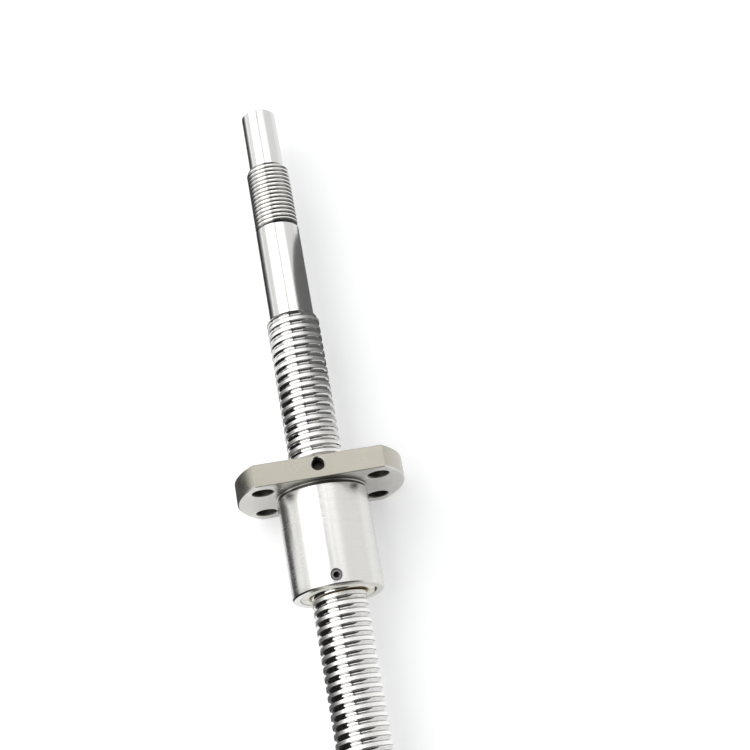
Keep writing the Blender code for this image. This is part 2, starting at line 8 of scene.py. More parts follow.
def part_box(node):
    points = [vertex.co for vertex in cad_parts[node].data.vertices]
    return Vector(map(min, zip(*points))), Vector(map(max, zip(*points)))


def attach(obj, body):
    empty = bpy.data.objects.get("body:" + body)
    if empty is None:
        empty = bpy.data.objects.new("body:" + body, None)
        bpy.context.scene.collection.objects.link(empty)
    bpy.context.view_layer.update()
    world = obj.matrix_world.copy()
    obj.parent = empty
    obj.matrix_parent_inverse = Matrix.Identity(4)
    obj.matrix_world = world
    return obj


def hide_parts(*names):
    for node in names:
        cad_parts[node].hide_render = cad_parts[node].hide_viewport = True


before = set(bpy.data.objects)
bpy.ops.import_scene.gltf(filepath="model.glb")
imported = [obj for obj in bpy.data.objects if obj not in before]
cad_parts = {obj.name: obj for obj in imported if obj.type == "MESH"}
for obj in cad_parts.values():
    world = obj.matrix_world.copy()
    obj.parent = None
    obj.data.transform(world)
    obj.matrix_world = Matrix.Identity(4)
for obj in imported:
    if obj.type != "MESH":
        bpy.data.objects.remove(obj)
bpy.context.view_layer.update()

# Screw shaft
# One bar of bearing steel. The ball thread is ground along it, the drive end with its lock nut thread
# and the far journal are turned and then ground on the centre holes in its two end faces.
MM = 0.001
TURN = 2 * math.pi
LEAD = 2.0 * MM
BALL_DIAMETER = 1.2 * MM
BALL_CIRCLE_RADIUS = 6.1 * MM
SCREW_RADIUS = 5.95 * MM
GROOVE_RADIUS = 0.66 * MM
GROOVE_OFFSET = 0.03 * MM
GROOVE_HALF_ANGLE = math.radians(75)
GROOVE_STEPS = 8
LAND_EDGE = 0.03 * MM
LAND_STATIONS = (0.66 * MM, 0.69 * MM, 0.74 * MM)
GROOVE_FROM_SHOULDER = 0.44 * MM
THREAD_END_RADIUS = 5.3 * MM
THREAD_FACETS = 84

DRIVE_END_LENGTH = 15.0 * MM
DRIVE_END_RADIUS = 4.0 * MM
LOCKNUT_THREAD_LENGTH = 16.0 * MM
LOCKNUT_PITCH = 1.0 * MM
LOCKNUT_CREST = 4.95 * MM
LOCKNUT_ROOT = 4.36 * MM
LOCKNUT_END_RADIUS = 4.3 * MM
LOCKNUT_START_SLOPE = 1.5
LOCKNUT_HALF_CREST = LOCKNUT_PITCH / 9
LOCKNUT_HALF_ROOT = LOCKNUT_PITCH / 10
RELIEF_WIDTH = 0.3 * MM
RELIEF_RADIUS = LOCKNUT_END_RADIUS - 0.1 * MM
JOURNAL_RADIUS = 5.0 * MM
JOURNAL_LENGTH = 23.0 * MM
FAR_JOURNAL_RADIUS = 4.0 * MM
FAR_JOURNAL_LENGTH = 10.0 * MM
CIRCLIP_GROOVE_FROM_SHOULDER = 7.9 * MM
CIRCLIP_GROOVE_WIDTH = 0.9 * MM
CIRCLIP_GROOVE_DEPTH = 0.2 * MM
END_CHAMFER = 0.5 * MM
SHOULDER_FILLET = 0.15 * MM
FILLET_STEPS = 4
CENTRE_HOLE_RADIUS = 1.25 * MM
CENTRE_PILOT_RADIUS = 0.5 * MM
CENTRE_PILOT_DEPTH = 2.1 * MM
CENTRE_HOLE_SLOPE = math.tan(math.radians(30))
TOUCHING = 0.001 * MM
SHARP_ANGLE = math.radians(38)

scene = bpy.context.scene
shaft_low, shaft_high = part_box("screw_shaft")
nut_low, nut_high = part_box("nut_body")
axis_height = (nut_low.z + nut_high.z) / 2
tip_x = shaft_high.x
locknut_end_x = tip_x - DRIVE_END_LENGTH
journal_end_x = locknut_end_x - LOCKNUT_THREAD_LENGTH
shoulder_x = journal_end_x - JOURNAL_LENGTH
far_shoulder_x = shaft_low.x + FAR_JOURNAL_LENGTH
groove_x = shoulder_x + GROOVE_FROM_SHOULDER


def rounded_min(first, second, blend):
    """The smaller of two radii, rounded over where they meet."""
    return (first + second - math.hypot(first - second, blend)) / 2


def ball_groove(land, side):
    """One lead of the gothic ball groove. Side is 1 on the shaft, and -1 in the nut's bore."""
    angles = [GROOVE_HALF_ANGLE * i / GROOVE_STEPS for i in range(GROOVE_STEPS + 1)]
    half = [*(GROOVE_RADIUS * math.sin(angle) for angle in angles), *LAND_STATIONS]
    section = []
    for along in [*(-x for x in reversed(half[1:])), *half, LEAD / 2]:
        chord = min(abs(along) + GROOVE_OFFSET, GROOVE_RADIUS)
        depth = math.sqrt(GROOVE_RADIUS**2 - chord**2)
        arc = BALL_CIRCLE_RADIUS + side * (GROOVE_OFFSET - depth)
        section.append((along, side * rounded_min(side * land, side * arc, LAND_EDGE)))
    return section


def wound(bm, section, lead, start_x, from_x, to_x, facets, limit):
    """Winds a section round the X axis, shaped at its runouts by the limit, and cuts its ends square."""
    first = math.floor((from_x - start_x) / lead) - 1
    last = math.ceil((to_x - start_x) / lead) + 1
    coil = bmesh.new()
    columns = []
    for along, radius in section:
        column = []
        for step in range((last - first) * facets + 1):
            x = start_x + along + lead * (first + step / facets)
            angle = TURN * step / facets
            reach = limit(x, radius)
            column.append(coil.verts.new((x, reach * math.cos(angle), reach * math.sin(angle))))
        columns.append(column)
    columns.append(columns[0][facets:])
    for near, far in zip(columns, columns[1:]):
        for i in range(min(len(near), len(far)) - 1):
            coil.faces.new((near[i], far[i], far[i + 1], near[i + 1]))
    for x, outwards in ((from_x, -1), (to_x, 1)):
        everything = coil.verts[:] + coil.edges[:] + coil.faces[:]
        bmesh.ops.bisect_plane(
            coil, geom=everything, plane_co=(x, 0, 0), plane_no=(outwards, 0, 0), clear_outer=True
        )
    holder = bpy.data.meshes.new("coil")
    coil.to_mesh(holder)
    coil.free()
    bm.from_mesh(holder)
    bpy.data.meshes.remove(holder)


def turned(bm, outline, facets, closed=False):
    """Turns an outline of (x, radius) points round the X axis."""
    rings = []
    for x, radius in outline:
        if radius:
            angles = [TURN * i / facets for i in range(facets)]
            rings.append([bm.verts.new((x, radius * math.cos(a), radius * math.sin(a))) for a in angles])
        else:
            rings.append([bm.verts.new((x, 0, 0))] * facets)
    pairs = list(zip(rings, rings[1:]))
    if closed:
        pairs.append((rings[-1], rings[0]))
    for near, far in pairs:
        for i in range(facets):
            j = (i + 1) % facets
            bm.faces.new(dict.fromkeys((near[i], near[j], far[j], far[i])))


def close_step(bm, x):
    """Closes the flat ring between the two open rims that lie at this place on the axis."""
    rims = [e for e in bm.edges if e.is_boundary and all(abs(v.co.x - x) < TOUCHING for v in e.verts)]
    bmesh.ops.bridge_loops(bm, edges=rims)


def fillet(x, radius, size, along):
    """Outline points of a quarter round that runs from a face at x into a cylinder of this radius."""
    points = []
    for i in range(FILLET_STEPS + 1):
        angle = TURN / 4 * i / FILLET_STEPS
        points.append((x + along * size * (1 - math.cos(angle)), radius + size * (1 - math.sin(angle))))
    return points


def centred_face(x, radius, inwards):
    """Outline points of a shaft end, from its cylinder over the chamfer into the centre hole."""
    cone = (CENTRE_HOLE_RADIUS - CENTRE_PILOT_RADIUS) / CENTRE_HOLE_SLOPE
    return [
        (x + inwards * END_CHAMFER, radius),
        (x, radius - END_CHAMFER),
        (x, CENTRE_HOLE_RADIUS),
        (x + inwards * cone, CENTRE_PILOT_RADIUS),
        (x + inwards * CENTRE_PILOT_DEPTH, CENTRE_PILOT_RADIUS),
        (x + inwards * (CENTRE_PILOT_DEPTH + CENTRE_PILOT_RADIUS / 2), 0),
    ]


def link(tree, start, end):
    tree.links.new(start, end)


def group_of(name, inputs, outputs):
    """A new shader node group with named number sockets, and its two end nodes."""
    tree = bpy.data.node_groups.new(name, "ShaderNodeTree")
    for label, value in inputs.items():
        socket = tree.interface.new_socket(label, in_out="INPUT", socket_type="NodeSocketFloat")
        socket.default_value = value
    for label in outputs:
        tree.interface.new_socket(label, in_out="OUTPUT", socket_type="NodeSocketFloat")
    return tree, tree.nodes.new("NodeGroupInput"), tree.nodes.new("NodeGroupOutput")


def feed(tree, socket, value):
    """Links an output to a socket, or gives the socket a plain value."""
    if isinstance(value, bpy.types.NodeSocket):
        link(tree, value, socket)
    else:
        socket.default_value = value


def maths(tree, operation, *values):
    """A Math node fed by numbers or sockets. It returns the node's output."""
    made = tree.nodes.new("ShaderNodeMath")
    made.operation = operation
    for socket, value in zip(made.inputs, values):
        feed(tree, socket, value)
    return made.outputs[0]


def noise(tree, vector, scale, detail):
    """A noise pattern with so many grains to a metre of the vector."""
    made = tree.nodes.new("ShaderNodeTexNoise")
    for label, value in (("Vector", vector), ("Scale", scale), ("Detail", detail)):
        feed(tree, made.inputs[label], value)
    return made.outputs["Fac"]


def spread(tree, value, low, high, to_low, to_high):
    """Stretches a varying value from one range to another."""
    made = tree.nodes.new("ShaderNodeMapRange")
    labels = ("Value", "From Min", "From Max", "To Min", "To Max")
    for label, number in zip(labels, (value, low, high, to_low, to_high)):
        feed(tree, made.inputs[label], number)
    return made.outputs["Result"]


NOISE_LOW = 0.3
NOISE_HIGH = 0.7


def varied(tree, pattern, low, high):
    """A number that wanders between two values with a noise pattern, which mostly stays in its middle."""
    return spread(tree, pattern, NOISE_LOW, NOISE_HIGH, low, high)


def placed_group(tree, group, **values):
    """Places a node group in a node tree with its own values."""
    made = tree.nodes.new("ShaderNodeGroup")
    made.node_tree = group
    for label, value in values.items():
        made.inputs[label.replace("_", " ")].default_value = value
    return made


def axis_places_group():
    """Where a point is round the screw's axis: along it, away from it, and the angle."""
    tree, _, out = group_of("axis_places", {}, ("Along", "Radius", "Angle"))
    place = tree.nodes.new("ShaderNodeTexCoord")
    split = tree.nodes.new("ShaderNodeSeparateXYZ")
    link(tree, place.outputs["Object"], split.inputs[0])
    height = maths(tree, "SUBTRACT", split.outputs["Z"], axis_height)
    across = maths(tree, "MULTIPLY", split.outputs["Y"], split.outputs["Y"])
    upright = maths(tree, "MULTIPLY", height, height)
    link(tree, split.outputs["X"], out.inputs["Along"])
    link(tree, maths(tree, "SQRT", maths(tree, "ADD", across, upright)), out.inputs["Radius"])
    link(tree, maths(tree, "ARCTAN2", height, split.outputs["Y"]), out.inputs["Angle"])
    return tree


axis_places = axis_places_group()
HAZE_SCALE = 0.4


def turning_marks_group():
    """Fine lines left by turning or grinding: rings round a cylinder, circles on a face."""
    inputs = {"Lines per metre": 6000, "Wander": 1.0}
    tree, given, out = group_of("turning_marks", inputs, ("Height", "Haze"))
    place = placed_group(tree, axis_places)
    lines = given.outputs["Lines per metre"]
    vector = tree.nodes.new("ShaderNodeCombineXYZ")
    link(tree, maths(tree, "MULTIPLY", place.outputs["Along"], lines), vector.inputs[0])
    link(tree, maths(tree, "MULTIPLY", place.outputs["Radius"], lines), vector.inputs[1])
    link(tree, maths(tree, "MULTIPLY", place.outputs["Angle"], given.outputs["Wander"]), vector.inputs[2])
    link(tree, noise(tree, vector.outputs[0], scale=1.0, detail=3.0), out.inputs["Height"])
    wide = tree.nodes.new("ShaderNodeVectorMath")
    wide.operation = "SCALE"
    wide.inputs["Scale"].default_value = HAZE_SCALE
    link(tree, vector.outputs[0], wide.inputs[0])
    link(tree, noise(tree, wide.outputs[0], scale=1.0, detail=2.0), out.inputs["Haze"])
    return tree


FLAT_POINTINESS = 0.5
EDGE_POINTINESS = 0.51


def worn_edges_group():
    """Where handling and washing have polished the edges."""
    tree, given, out = group_of("worn_edges", {"Reach": 0.06}, ("Mask",))
    shape = tree.nodes.new("ShaderNodeNewGeometry")
    sharpest = maths(tree, "ADD", given.outputs["Reach"], FLAT_POINTINESS)
    edge = spread(tree, shape.outputs["Pointiness"], EDGE_POINTINESS, sharpest, 0.0, 1.0)
    link(tree, edge, out.inputs["Mask"])
    return tree


PATCHES_PER_METRE = 260


def fine_grain_group():
    """A fine even grain with broad faint patches, as on a blasted or moulded face."""
    tree, given, out = group_of("fine_grain", {"Grains per metre": 9000}, ("Height", "Patches"))
    place = tree.nodes.new("ShaderNodeTexCoord").outputs["Object"]
    link(tree, noise(tree, place, given.outputs["Grains per metre"], detail=2.0), out.inputs["Height"])
    link(tree, noise(tree, place, PATCHES_PER_METRE, detail=3.0), out.inputs["Patches"])
    return tree


turning_marks = turning_marks_group()
worn_edges = worn_edges_group()
fine_grain = fine_grain_group()

MIX_FIRST_COLOUR = 6
MIX_SECOND_COLOUR = 7
MIX_MIXED_COLOUR = 2


def blend_colours(tree, factor, first, second):
    """A colour that goes from the first to the second with the factor. Each is plain or a socket."""
    made = tree.nodes.new("ShaderNodeMix")
    made.data_type = "RGBA"
    link(tree, factor, made.inputs["Factor"])
    for place, colour in ((MIX_FIRST_COLOUR, first), (MIX_SECOND_COLOUR, second)):
        feed(tree, made.inputs[place], (*colour, 1.0) if isinstance(colour, tuple) else colour)
    return made.outputs[MIX_MIXED_COLOUR]


def bumped(tree, shader, height, distance, strength=1.0):
    """Raises a surface by a pattern, in its shading only."""
    made = tree.nodes.new("ShaderNodeBump")
    made.inputs["Distance"].default_value = distance
    made.inputs["Strength"].default_value = strength
    link(tree, height, made.inputs["Height"])
    link(tree, made.outputs["Normal"], shader.inputs["Normal"])


def finish_of(name, metallic):
    """A new material, with its node tree and its Principled shader."""
    made = bpy.data.materials.new(name)
    made.use_nodes = True
    shader = made.node_tree.nodes["Principled BSDF"]
    shader.inputs["Metallic"].default_value = metallic
    return made, made.node_tree, shader


def turned_steel(name, colour, edge_colour, roughness, haze, lines, depth):
    """Steel with fine rings from the lathe or the grinding wheel."""
    made, tree, shader = finish_of(name, 1.0)
    marks = placed_group(tree, turning_marks, Lines_per_metre=lines, Wander=2.0)
    edges = placed_group(tree, worn_edges, Reach=0.08)
    link(tree, blend_colours(tree, edges.outputs["Mask"], colour, edge_colour), shader.inputs["Base Color"])
    rough = varied(tree, marks.outputs["Haze"], roughness - haze, roughness + haze)
    link(tree, rough, shader.inputs["Roughness"])
    bumped(tree, shader, marks.outputs["Height"], depth)
    return made


def object_from(name, bm):
    """A mesh object whose axis is lifted to the height of the screw's axis."""
    bmesh.ops.translate(bm, verts=bm.verts, vec=(0, 0, axis_height))
    bmesh.ops.recalc_face_normals(bm, faces=bm.faces)
    mesh = bpy.data.meshes.new(name)
    bm.to_mesh(mesh)
    bm.free()
    made = bpy.data.objects.new(name, mesh)
    scene.collection.objects.link(made)
    return made


def bake(made):
    """Turns a piece's modifiers into plain mesh."""
    bpy.context.view_layer.update()
    mesh = bpy.data.meshes.new_from_object(made.evaluated_get(bpy.context.evaluated_depsgraph_get()))
    made.modifiers.clear()
    made.data = mesh


def dress(made, materials):
    """Gives a piece its materials and smooth shading, with sharp edges and level flat faces."""
    for material in materials:
        made.data.materials.append(material)
    made.data.shade_smooth()
    made.data.set_sharp_from_angle(angle=SHARP_ANGLE)
    modifier = made.modifiers.new("level", "WEIGHTED_NORMAL")
    modifier.keep_sharp = True
    bake(made)
    return made


def shaft_limit(x, radius):
    """The ball thread runs out over a chamfer at each end."""
    return min(radius, THREAD_END_RADIUS + shoulder_x - x, THREAD_END_RADIUS + x - far_shoulder_x)


def locknut_limit(x, radius):
    """The lock nut thread starts in the relief groove and ends in a chamfer."""
    start = journal_end_x + RELIEF_WIDTH
    first = LOCKNUT_END_RADIUS + LOCKNUT_START_SLOPE * (x - start)
    return min(radius, first, LOCKNUT_END_RADIUS + locknut_end_x - x)


def shaft_mesh():
    """The two threads, wound, and the plain ends, turned, closed at the steps between them."""
    bm = bmesh.new()
    ball_section = ball_groove(SCREW_RADIUS, 1)
    wound(bm, ball_section, LEAD, groove_x, far_shoulder_x, shoulder_x, THREAD_FACETS, shaft_limit)
    fine_section = [
        (LOCKNUT_HALF_CREST - LOCKNUT_PITCH / 2, LOCKNUT_CREST),
        (-LOCKNUT_HALF_ROOT, LOCKNUT_ROOT + LOCKNUT_HALF_ROOT / 2),
        (0, LOCKNUT_ROOT),
        (LOCKNUT_HALF_ROOT, LOCKNUT_ROOT + LOCKNUT_HALF_ROOT / 2),
        (LOCKNUT_PITCH / 2 - LOCKNUT_HALF_CREST, LOCKNUT_CREST),
        (LOCKNUT_PITCH / 2, LOCKNUT_CREST + LOCKNUT_HALF_CREST / 5),
    ]
    relief_x = journal_end_x + RELIEF_WIDTH
    wound(bm, fine_section, LOCKNUT_PITCH, relief_x, relief_x, locknut_end_x, THREAD_FACETS, locknut_limit)
    journal = [
        *fillet(shoulder_x, JOURNAL_RADIUS, SHOULDER_FILLET, 1),
        (journal_end_x - END_CHAMFER / 2, JOURNAL_RADIUS),
        (journal_end_x, JOURNAL_RADIUS - END_CHAMFER / 2),
        (journal_end_x, RELIEF_RADIUS),
        (relief_x, RELIEF_RADIUS),
    ]
    turned(bm, journal, THREAD_FACETS)
    drive = [
        *fillet(locknut_end_x, DRIVE_END_RADIUS, SHOULDER_FILLET, 1),
        *centred_face(tip_x, DRIVE_END_RADIUS, -1),
    ]
    turned(bm, drive, THREAD_FACETS)
    groove_start = far_shoulder_x - CIRCLIP_GROOVE_FROM_SHOULDER
    groove_end = groove_start - CIRCLIP_GROOVE_WIDTH
    groove_bottom = FAR_JOURNAL_RADIUS - CIRCLIP_GROOVE_DEPTH
    far = [
        *fillet(far_shoulder_x, FAR_JOURNAL_RADIUS, SHOULDER_FILLET, -1),
        (groove_start, FAR_JOURNAL_RADIUS),
        (groove_start, groove_bottom),
        (groove_end, groove_bottom),
        (groove_end, FAR_JOURNAL_RADIUS),
        *centred_face(shaft_low.x, FAR_JOURNAL_RADIUS, 1),
    ]
    turned(bm, far, THREAD_FACETS)
    for x in (far_shoulder_x, shoulder_x, relief_x, locknut_end_x):
        close_step(bm, x)
    return bm


def painted_light_thread_steel(name, crest_highlight_colour, groove_colour, edge_colour, root, crest):
    """Turned thread steel with a painted highlight on its crests and painted shade in its grooves, darker
    towards the root.
    """
    made = turned_steel(
        name, crest_highlight_colour, edge_colour, roughness=0.24, haze=0.03, lines=9000, depth=0.002 * MM
    )
    tree = made.node_tree
    shader = tree.nodes["Principled BSDF"]
    place = placed_group(tree, axis_places)
    painted_root_shade = spread(tree, place.outputs["Radius"], root, crest, 1.0, 0.0)
    bright = shader.inputs["Base Color"].links[0].from_socket
    link(tree, blend_colours(tree, painted_root_shade, bright, groove_colour), shader.inputs["Base Color"])
    return made


# Depths under the lands where the groove darkens with oil and painted shade, and where the lands' painted
# highlight starts.
OIL_AND_SHADE_DEPTHS = (0.18 * MM, 0.10 * MM)
LAND_DEPTHS = (0.04 * MM, 0.015 * MM)
LAND_ROUGHNESS = 0.5


def ball_groove_steel(name, groove_colour, oil_and_shade_colour, land_highlight_colour):
    """A groove polished by the balls, dull ground lands painted pale as a painted highlight, and a thin
    dark line of oil and painted shade between them.
    """
    made = turned_steel(
        name, groove_colour, groove_colour, roughness=0.1, haze=0.02, lines=7000, depth=0.001 * MM
    )
    tree = made.node_tree
    shader = tree.nodes["Principled BSDF"]
    radius = placed_group(tree, axis_places).outputs["Radius"]
    shoulder = spread(tree, radius, *(SCREW_RADIUS - depth for depth in OIL_AND_SHADE_DEPTHS), 0.0, 1.0)
    land = spread(tree, radius, *(SCREW_RADIUS - depth for depth in LAND_DEPTHS), 0.0, 1.0)
    oiled_and_shaded = blend_colours(tree, shoulder, groove_colour, oil_and_shade_colour)
    link(tree, blend_colours(tree, land, oiled_and_shaded, land_highlight_colour), shader.inputs["Base Color"])
    polished = shader.inputs["Roughness"].links[0].from_socket
    link(tree, spread(tree, land, 0.0, 1.0, polished, LAND_ROUGHNESS), shader.inputs["Roughness"])
    return made


# The pale land colour is a painted highlight; the dark line at each groove shoulder is oil and painted
# shade.
ball_thread_steel = ball_groove_steel(
    "ground_thread_steel",
    groove_colour=(0.66, 0.655, 0.64),
    oil_and_shade_colour=(0.11, 0.107, 0.10),
    land_highlight_colour=(0.95, 0.945, 0.92),
)
shaft_end_steel = turned_steel(
    "ground_journal_steel",
    colour=(0.66, 0.655, 0.64),
    edge_colour=(0.74, 0.735, 0.72),
    roughness=0.2,
    haze=0.03,
    lines=7000,
    depth=0.0015 * MM,
)
# The pale crest and edge colours are a painted highlight; the dark groove colour is painted shade in the
# thread's roots.
fine_thread_steel = painted_light_thread_steel(
    "cut_thread_steel",
    crest_highlight_colour=(0.93, 0.925, 0.90),
    groove_colour=(0.15, 0.146, 0.135),
    edge_colour=(0.95, 0.945, 0.92),
    root=LOCKNUT_ROOT,
    crest=LOCKNUT_CREST,
)
shaft_steels = [ball_thread_steel, shaft_end_steel, fine_thread_steel]
shaft = dress(object_from("ball_screw_shaft", shaft_mesh()), shaft_steels)
for face in shaft.data.polygons:
    x = face.center.x
    if journal_end_x < x < locknut_end_x:
        face.material_index = shaft_steels.index(fine_thread_steel)
    elif not far_shoulder_x <= x <= shoulder_x:
        face.material_index = shaft_steels.index(shaft_end_steel)
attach(shaft, "screw")
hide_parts("screw_shaft")

# Nut body
# One piece of case-hardened steel: turned from bar, with the two flats milled and blasted, the barrel
# and the bore's ball groove ground, the bolt holes drilled, and the oil and set screw holes tapped.
BARREL_RADIUS = 10.0 * MM
BARREL_CHAMFER = 0.3 * MM
FLANGE_RADIUS = 18.5 * MM
FLANGE_THICKNESS = 5.0 * MM
FLANGE_CHAMFER = 0.25 * MM
FLAT_EDGE_BREAK = 0.12 * MM
NECK_GROOVE_WIDTH = 0.8 * MM
NECK_GROOVE_DEPTH = 0.3 * MM
BORE_RADIUS = 6.2 * MM
BORE_MOUTH_RADIUS = 6.8 * MM
BORE_MOUTH_LEDGE = 0.1 * MM
SEAT_RADIUS = 8.3 * MM
END_SEAT_DEPTH = 3.0 * MM
FLANGE_SEAT_DEPTH = 1.0 * MM
BOLT_HOLE_RADIUS = 2.25 * MM
BOLT_CIRCLE_RADIUS = 14.5 * MM
BOLT_ANGLE = math.radians(30)
HOLE_CHAMFER = 0.2 * MM
OIL_HOLE_RADIUS = 1.375 * MM
OIL_HOLE_FROM_FACE = 1.9 * MM
OIL_HOLE_DEPTH = 3.0 * MM
OIL_THREAD_PITCH = 0.5 * MM
OIL_THREAD_DEPTH = 0.2 * MM
OIL_THREAD_FLAT = OIL_THREAD_PITCH / 20
SET_SCREW_RADIUS = 1.2 * MM
SET_SCREW_FROM_END = 2.1 * MM
SET_SCREW_CLEARANCE = 0.06 * MM
INSERT_LENGTH = 6.13 * MM
INSERT_WIDTH = 2.72 * MM
INSERT_TILT = math.radians(20.9)
INSERT_CLEARANCE = 0.1 * MM
INSERT_ANGLES = [math.radians(angle) for angle in (315, 285, 255, 225)]
INSERT_NUMBERS = range(1, len(INSERT_ANGLES) + 1)
CUT_OVERRUN = 0.5 * MM
UPWARDS = TURN / 4
NUT_FACETS = 180
BORE_FACETS = 60
HOLE_FACETS = 48
ROUND_END_STEPS = 16

flange_face_x = nut_high.x
flange_back_x = flange_face_x - FLANGE_THICKNESS
barrel_start_x = flange_back_x - NECK_GROOVE_WIDTH
nut_end_x = nut_low.x
flat_height = nut_high.z - axis_height
end_seat_x = nut_end_x + END_SEAT_DEPTH
flange_seat_x = flange_face_x - FLANGE_SEAT_DEPTH
set_screw_x = nut_end_x + SET_SCREW_FROM_END


def insert_x(number):
    """Where the middle of a return insert is along the axis."""
    low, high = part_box(f"return_insert_{number}")
    return (low.x + high.x) / 2


def outwards_from(x, angle, radius=0.0):
    """A frame whose X points away from the axis at this angle, with Z along the axis."""
    out = Vector((0, math.cos(angle), math.sin(angle)))
    along = Vector((1, 0, 0))
    made = Matrix((out, along.cross(out), along)).transposed().to_4x4()
    made.translation = along * x + out * radius
    return made


def insert_block(bm, number, growth):
    """A block with round ends through the barrel's wall, turned by the tilt of the ball path."""
    low = BORE_RADIUS - BALL_DIAMETER
    high = BARREL_RADIUS + CUT_OVERRUN
    length = INSERT_LENGTH + growth
    radius = (INSERT_WIDTH + growth) / 2
    outline = []
    for end in (1, -1):
        for i in range(ROUND_END_STEPS + 1):
            bend = math.pi * (i / ROUND_END_STEPS - 0.5)
            across = end * (length / 2 - radius + radius * math.cos(bend))
            outline.append(Vector((low, across, end * radius * math.sin(bend))))
    turn = Matrix.Rotation(-INSERT_TILT, 3, "X")
    floor = bm.faces.new([bm.verts.new(turn @ point) for point in outline])
    raised = bmesh.ops.extrude_face_region(bm, geom=[floor], use_keep_orig=True)["geom"]
    top = [item for item in raised if isinstance(item, bmesh.types.BMVert)]
    bmesh.ops.translate(bm, verts=top, vec=(high - low, 0, 0))
    place = outwards_from(insert_x(number), INSERT_ANGLES[number - 1])
    bmesh.ops.transform(bm, matrix=place, verts=[*floor.verts, *top])


def moved_turning(bm, outline, facets, place):
    """A turned shape, closed by its outline, set in its place."""
    before = set(bm.verts)
    turned(bm, outline, facets)
    bmesh.ops.transform(bm, matrix=place, verts=[v for v in bm.verts if v not in before])


def cut(target, bm, operation="DIFFERENCE"):
    """Cuts a finished mesh away from a piece, or keeps only what they share."""
    cutter = object_from("cutter", bm)
    modifier = target.modifiers.new("cut", "BOOLEAN")
    modifier.object = cutter
    modifier.operation = operation
    modifier.solver = "EXACT"
    bake(target)
    bpy.data.objects.remove(cutter)


def bore_limit(x, radius):
    """The bore opens into a chamfer at each end."""
    return max(radius, BORE_MOUTH_RADIUS - x + end_seat_x, BORE_MOUTH_RADIUS + x - flange_seat_x)


def nut_blank():
    """The nut as turned and ground, before its flats, holes and windows."""
    neck = BARREL_RADIUS - NECK_GROOVE_DEPTH
    bm = bmesh.new()
    outline = [
        (end_seat_x, BORE_MOUTH_RADIUS + BORE_MOUTH_LEDGE),
        (end_seat_x, SEAT_RADIUS),
        (nut_end_x + HOLE_CHAMFER / 2, SEAT_RADIUS),
        (nut_end_x, SEAT_RADIUS + HOLE_CHAMFER / 2),
        (nut_end_x, BARREL_RADIUS - BARREL_CHAMFER),
        (nut_end_x + BARREL_CHAMFER, BARREL_RADIUS),
        (barrel_start_x - HOLE_CHAMFER / 2, BARREL_RADIUS),
        (barrel_start_x, BARREL_RADIUS - HOLE_CHAMFER / 2),
        *fillet(barrel_start_x, neck, HOLE_CHAMFER, 1)[1:],
        *reversed(fillet(flange_back_x, neck, HOLE_CHAMFER, -1)),
        (flange_back_x, FLANGE_RADIUS - FLANGE_CHAMFER),
        (flange_back_x + FLANGE_CHAMFER, FLANGE_RADIUS),
        (flange_face_x - FLANGE_CHAMFER, FLANGE_RADIUS),
        (flange_face_x, FLANGE_RADIUS - FLANGE_CHAMFER),
        (flange_face_x, SEAT_RADIUS + HOLE_CHAMFER / 2),
        (flange_face_x - HOLE_CHAMFER / 2, SEAT_RADIUS),
        (flange_seat_x, SEAT_RADIUS),
        (flange_seat_x, BORE_MOUTH_RADIUS + BORE_MOUTH_LEDGE),
    ]
    turned(bm, outline, NUT_FACETS)
    section = ball_groove(BORE_RADIUS, -1)
    wound(bm, section, LEAD, groove_x, end_seat_x, flange_seat_x, BORE_FACETS, bore_limit)
    close_step(bm, end_seat_x)
    close_step(bm, flange_seat_x)
    return bm


def flat_cutters():
    """Two blocks that mill the flats, with a small bevel on the long edges that they leave."""
    bm = bmesh.new()
    wide = FLANGE_RADIUS + CUT_OVERRUN
    lift = CUT_OVERRUN + FLAT_EDGE_BREAK
    profile = [
        (flange_back_x - CUT_OVERRUN, flat_height - lift),
        (flange_back_x + FLAT_EDGE_BREAK, flat_height),
        (flange_face_x - FLAT_EDGE_BREAK, flat_height),
        (flange_face_x + CUT_OVERRUN, flat_height - lift),
        (flange_face_x + lift, FLANGE_RADIUS + lift),
        (flange_back_x - lift, FLANGE_RADIUS + lift),
    ]
    for side in (1, -1):
        ends = []
        for y in (-wide, wide):
            ends.append([bm.verts.new((x, y, side * z)) for x, z in profile])
            bm.faces.new(ends[-1])
        for i in range(len(profile)):
            j = (i + 1) % len(profile)
            bm.faces.new((ends[0][i], ends[0][j], ends[1][j], ends[1][i]))
    return bm


def mouth(radius, chamfer, top):
    """Outline points of a hole's open end, from its wall out over the chamfer."""
    return [
        (top - chamfer, radius),
        (top + CUT_OVERRUN, radius + chamfer + CUT_OVERRUN),
        (top + CUT_OVERRUN, 0),
    ]


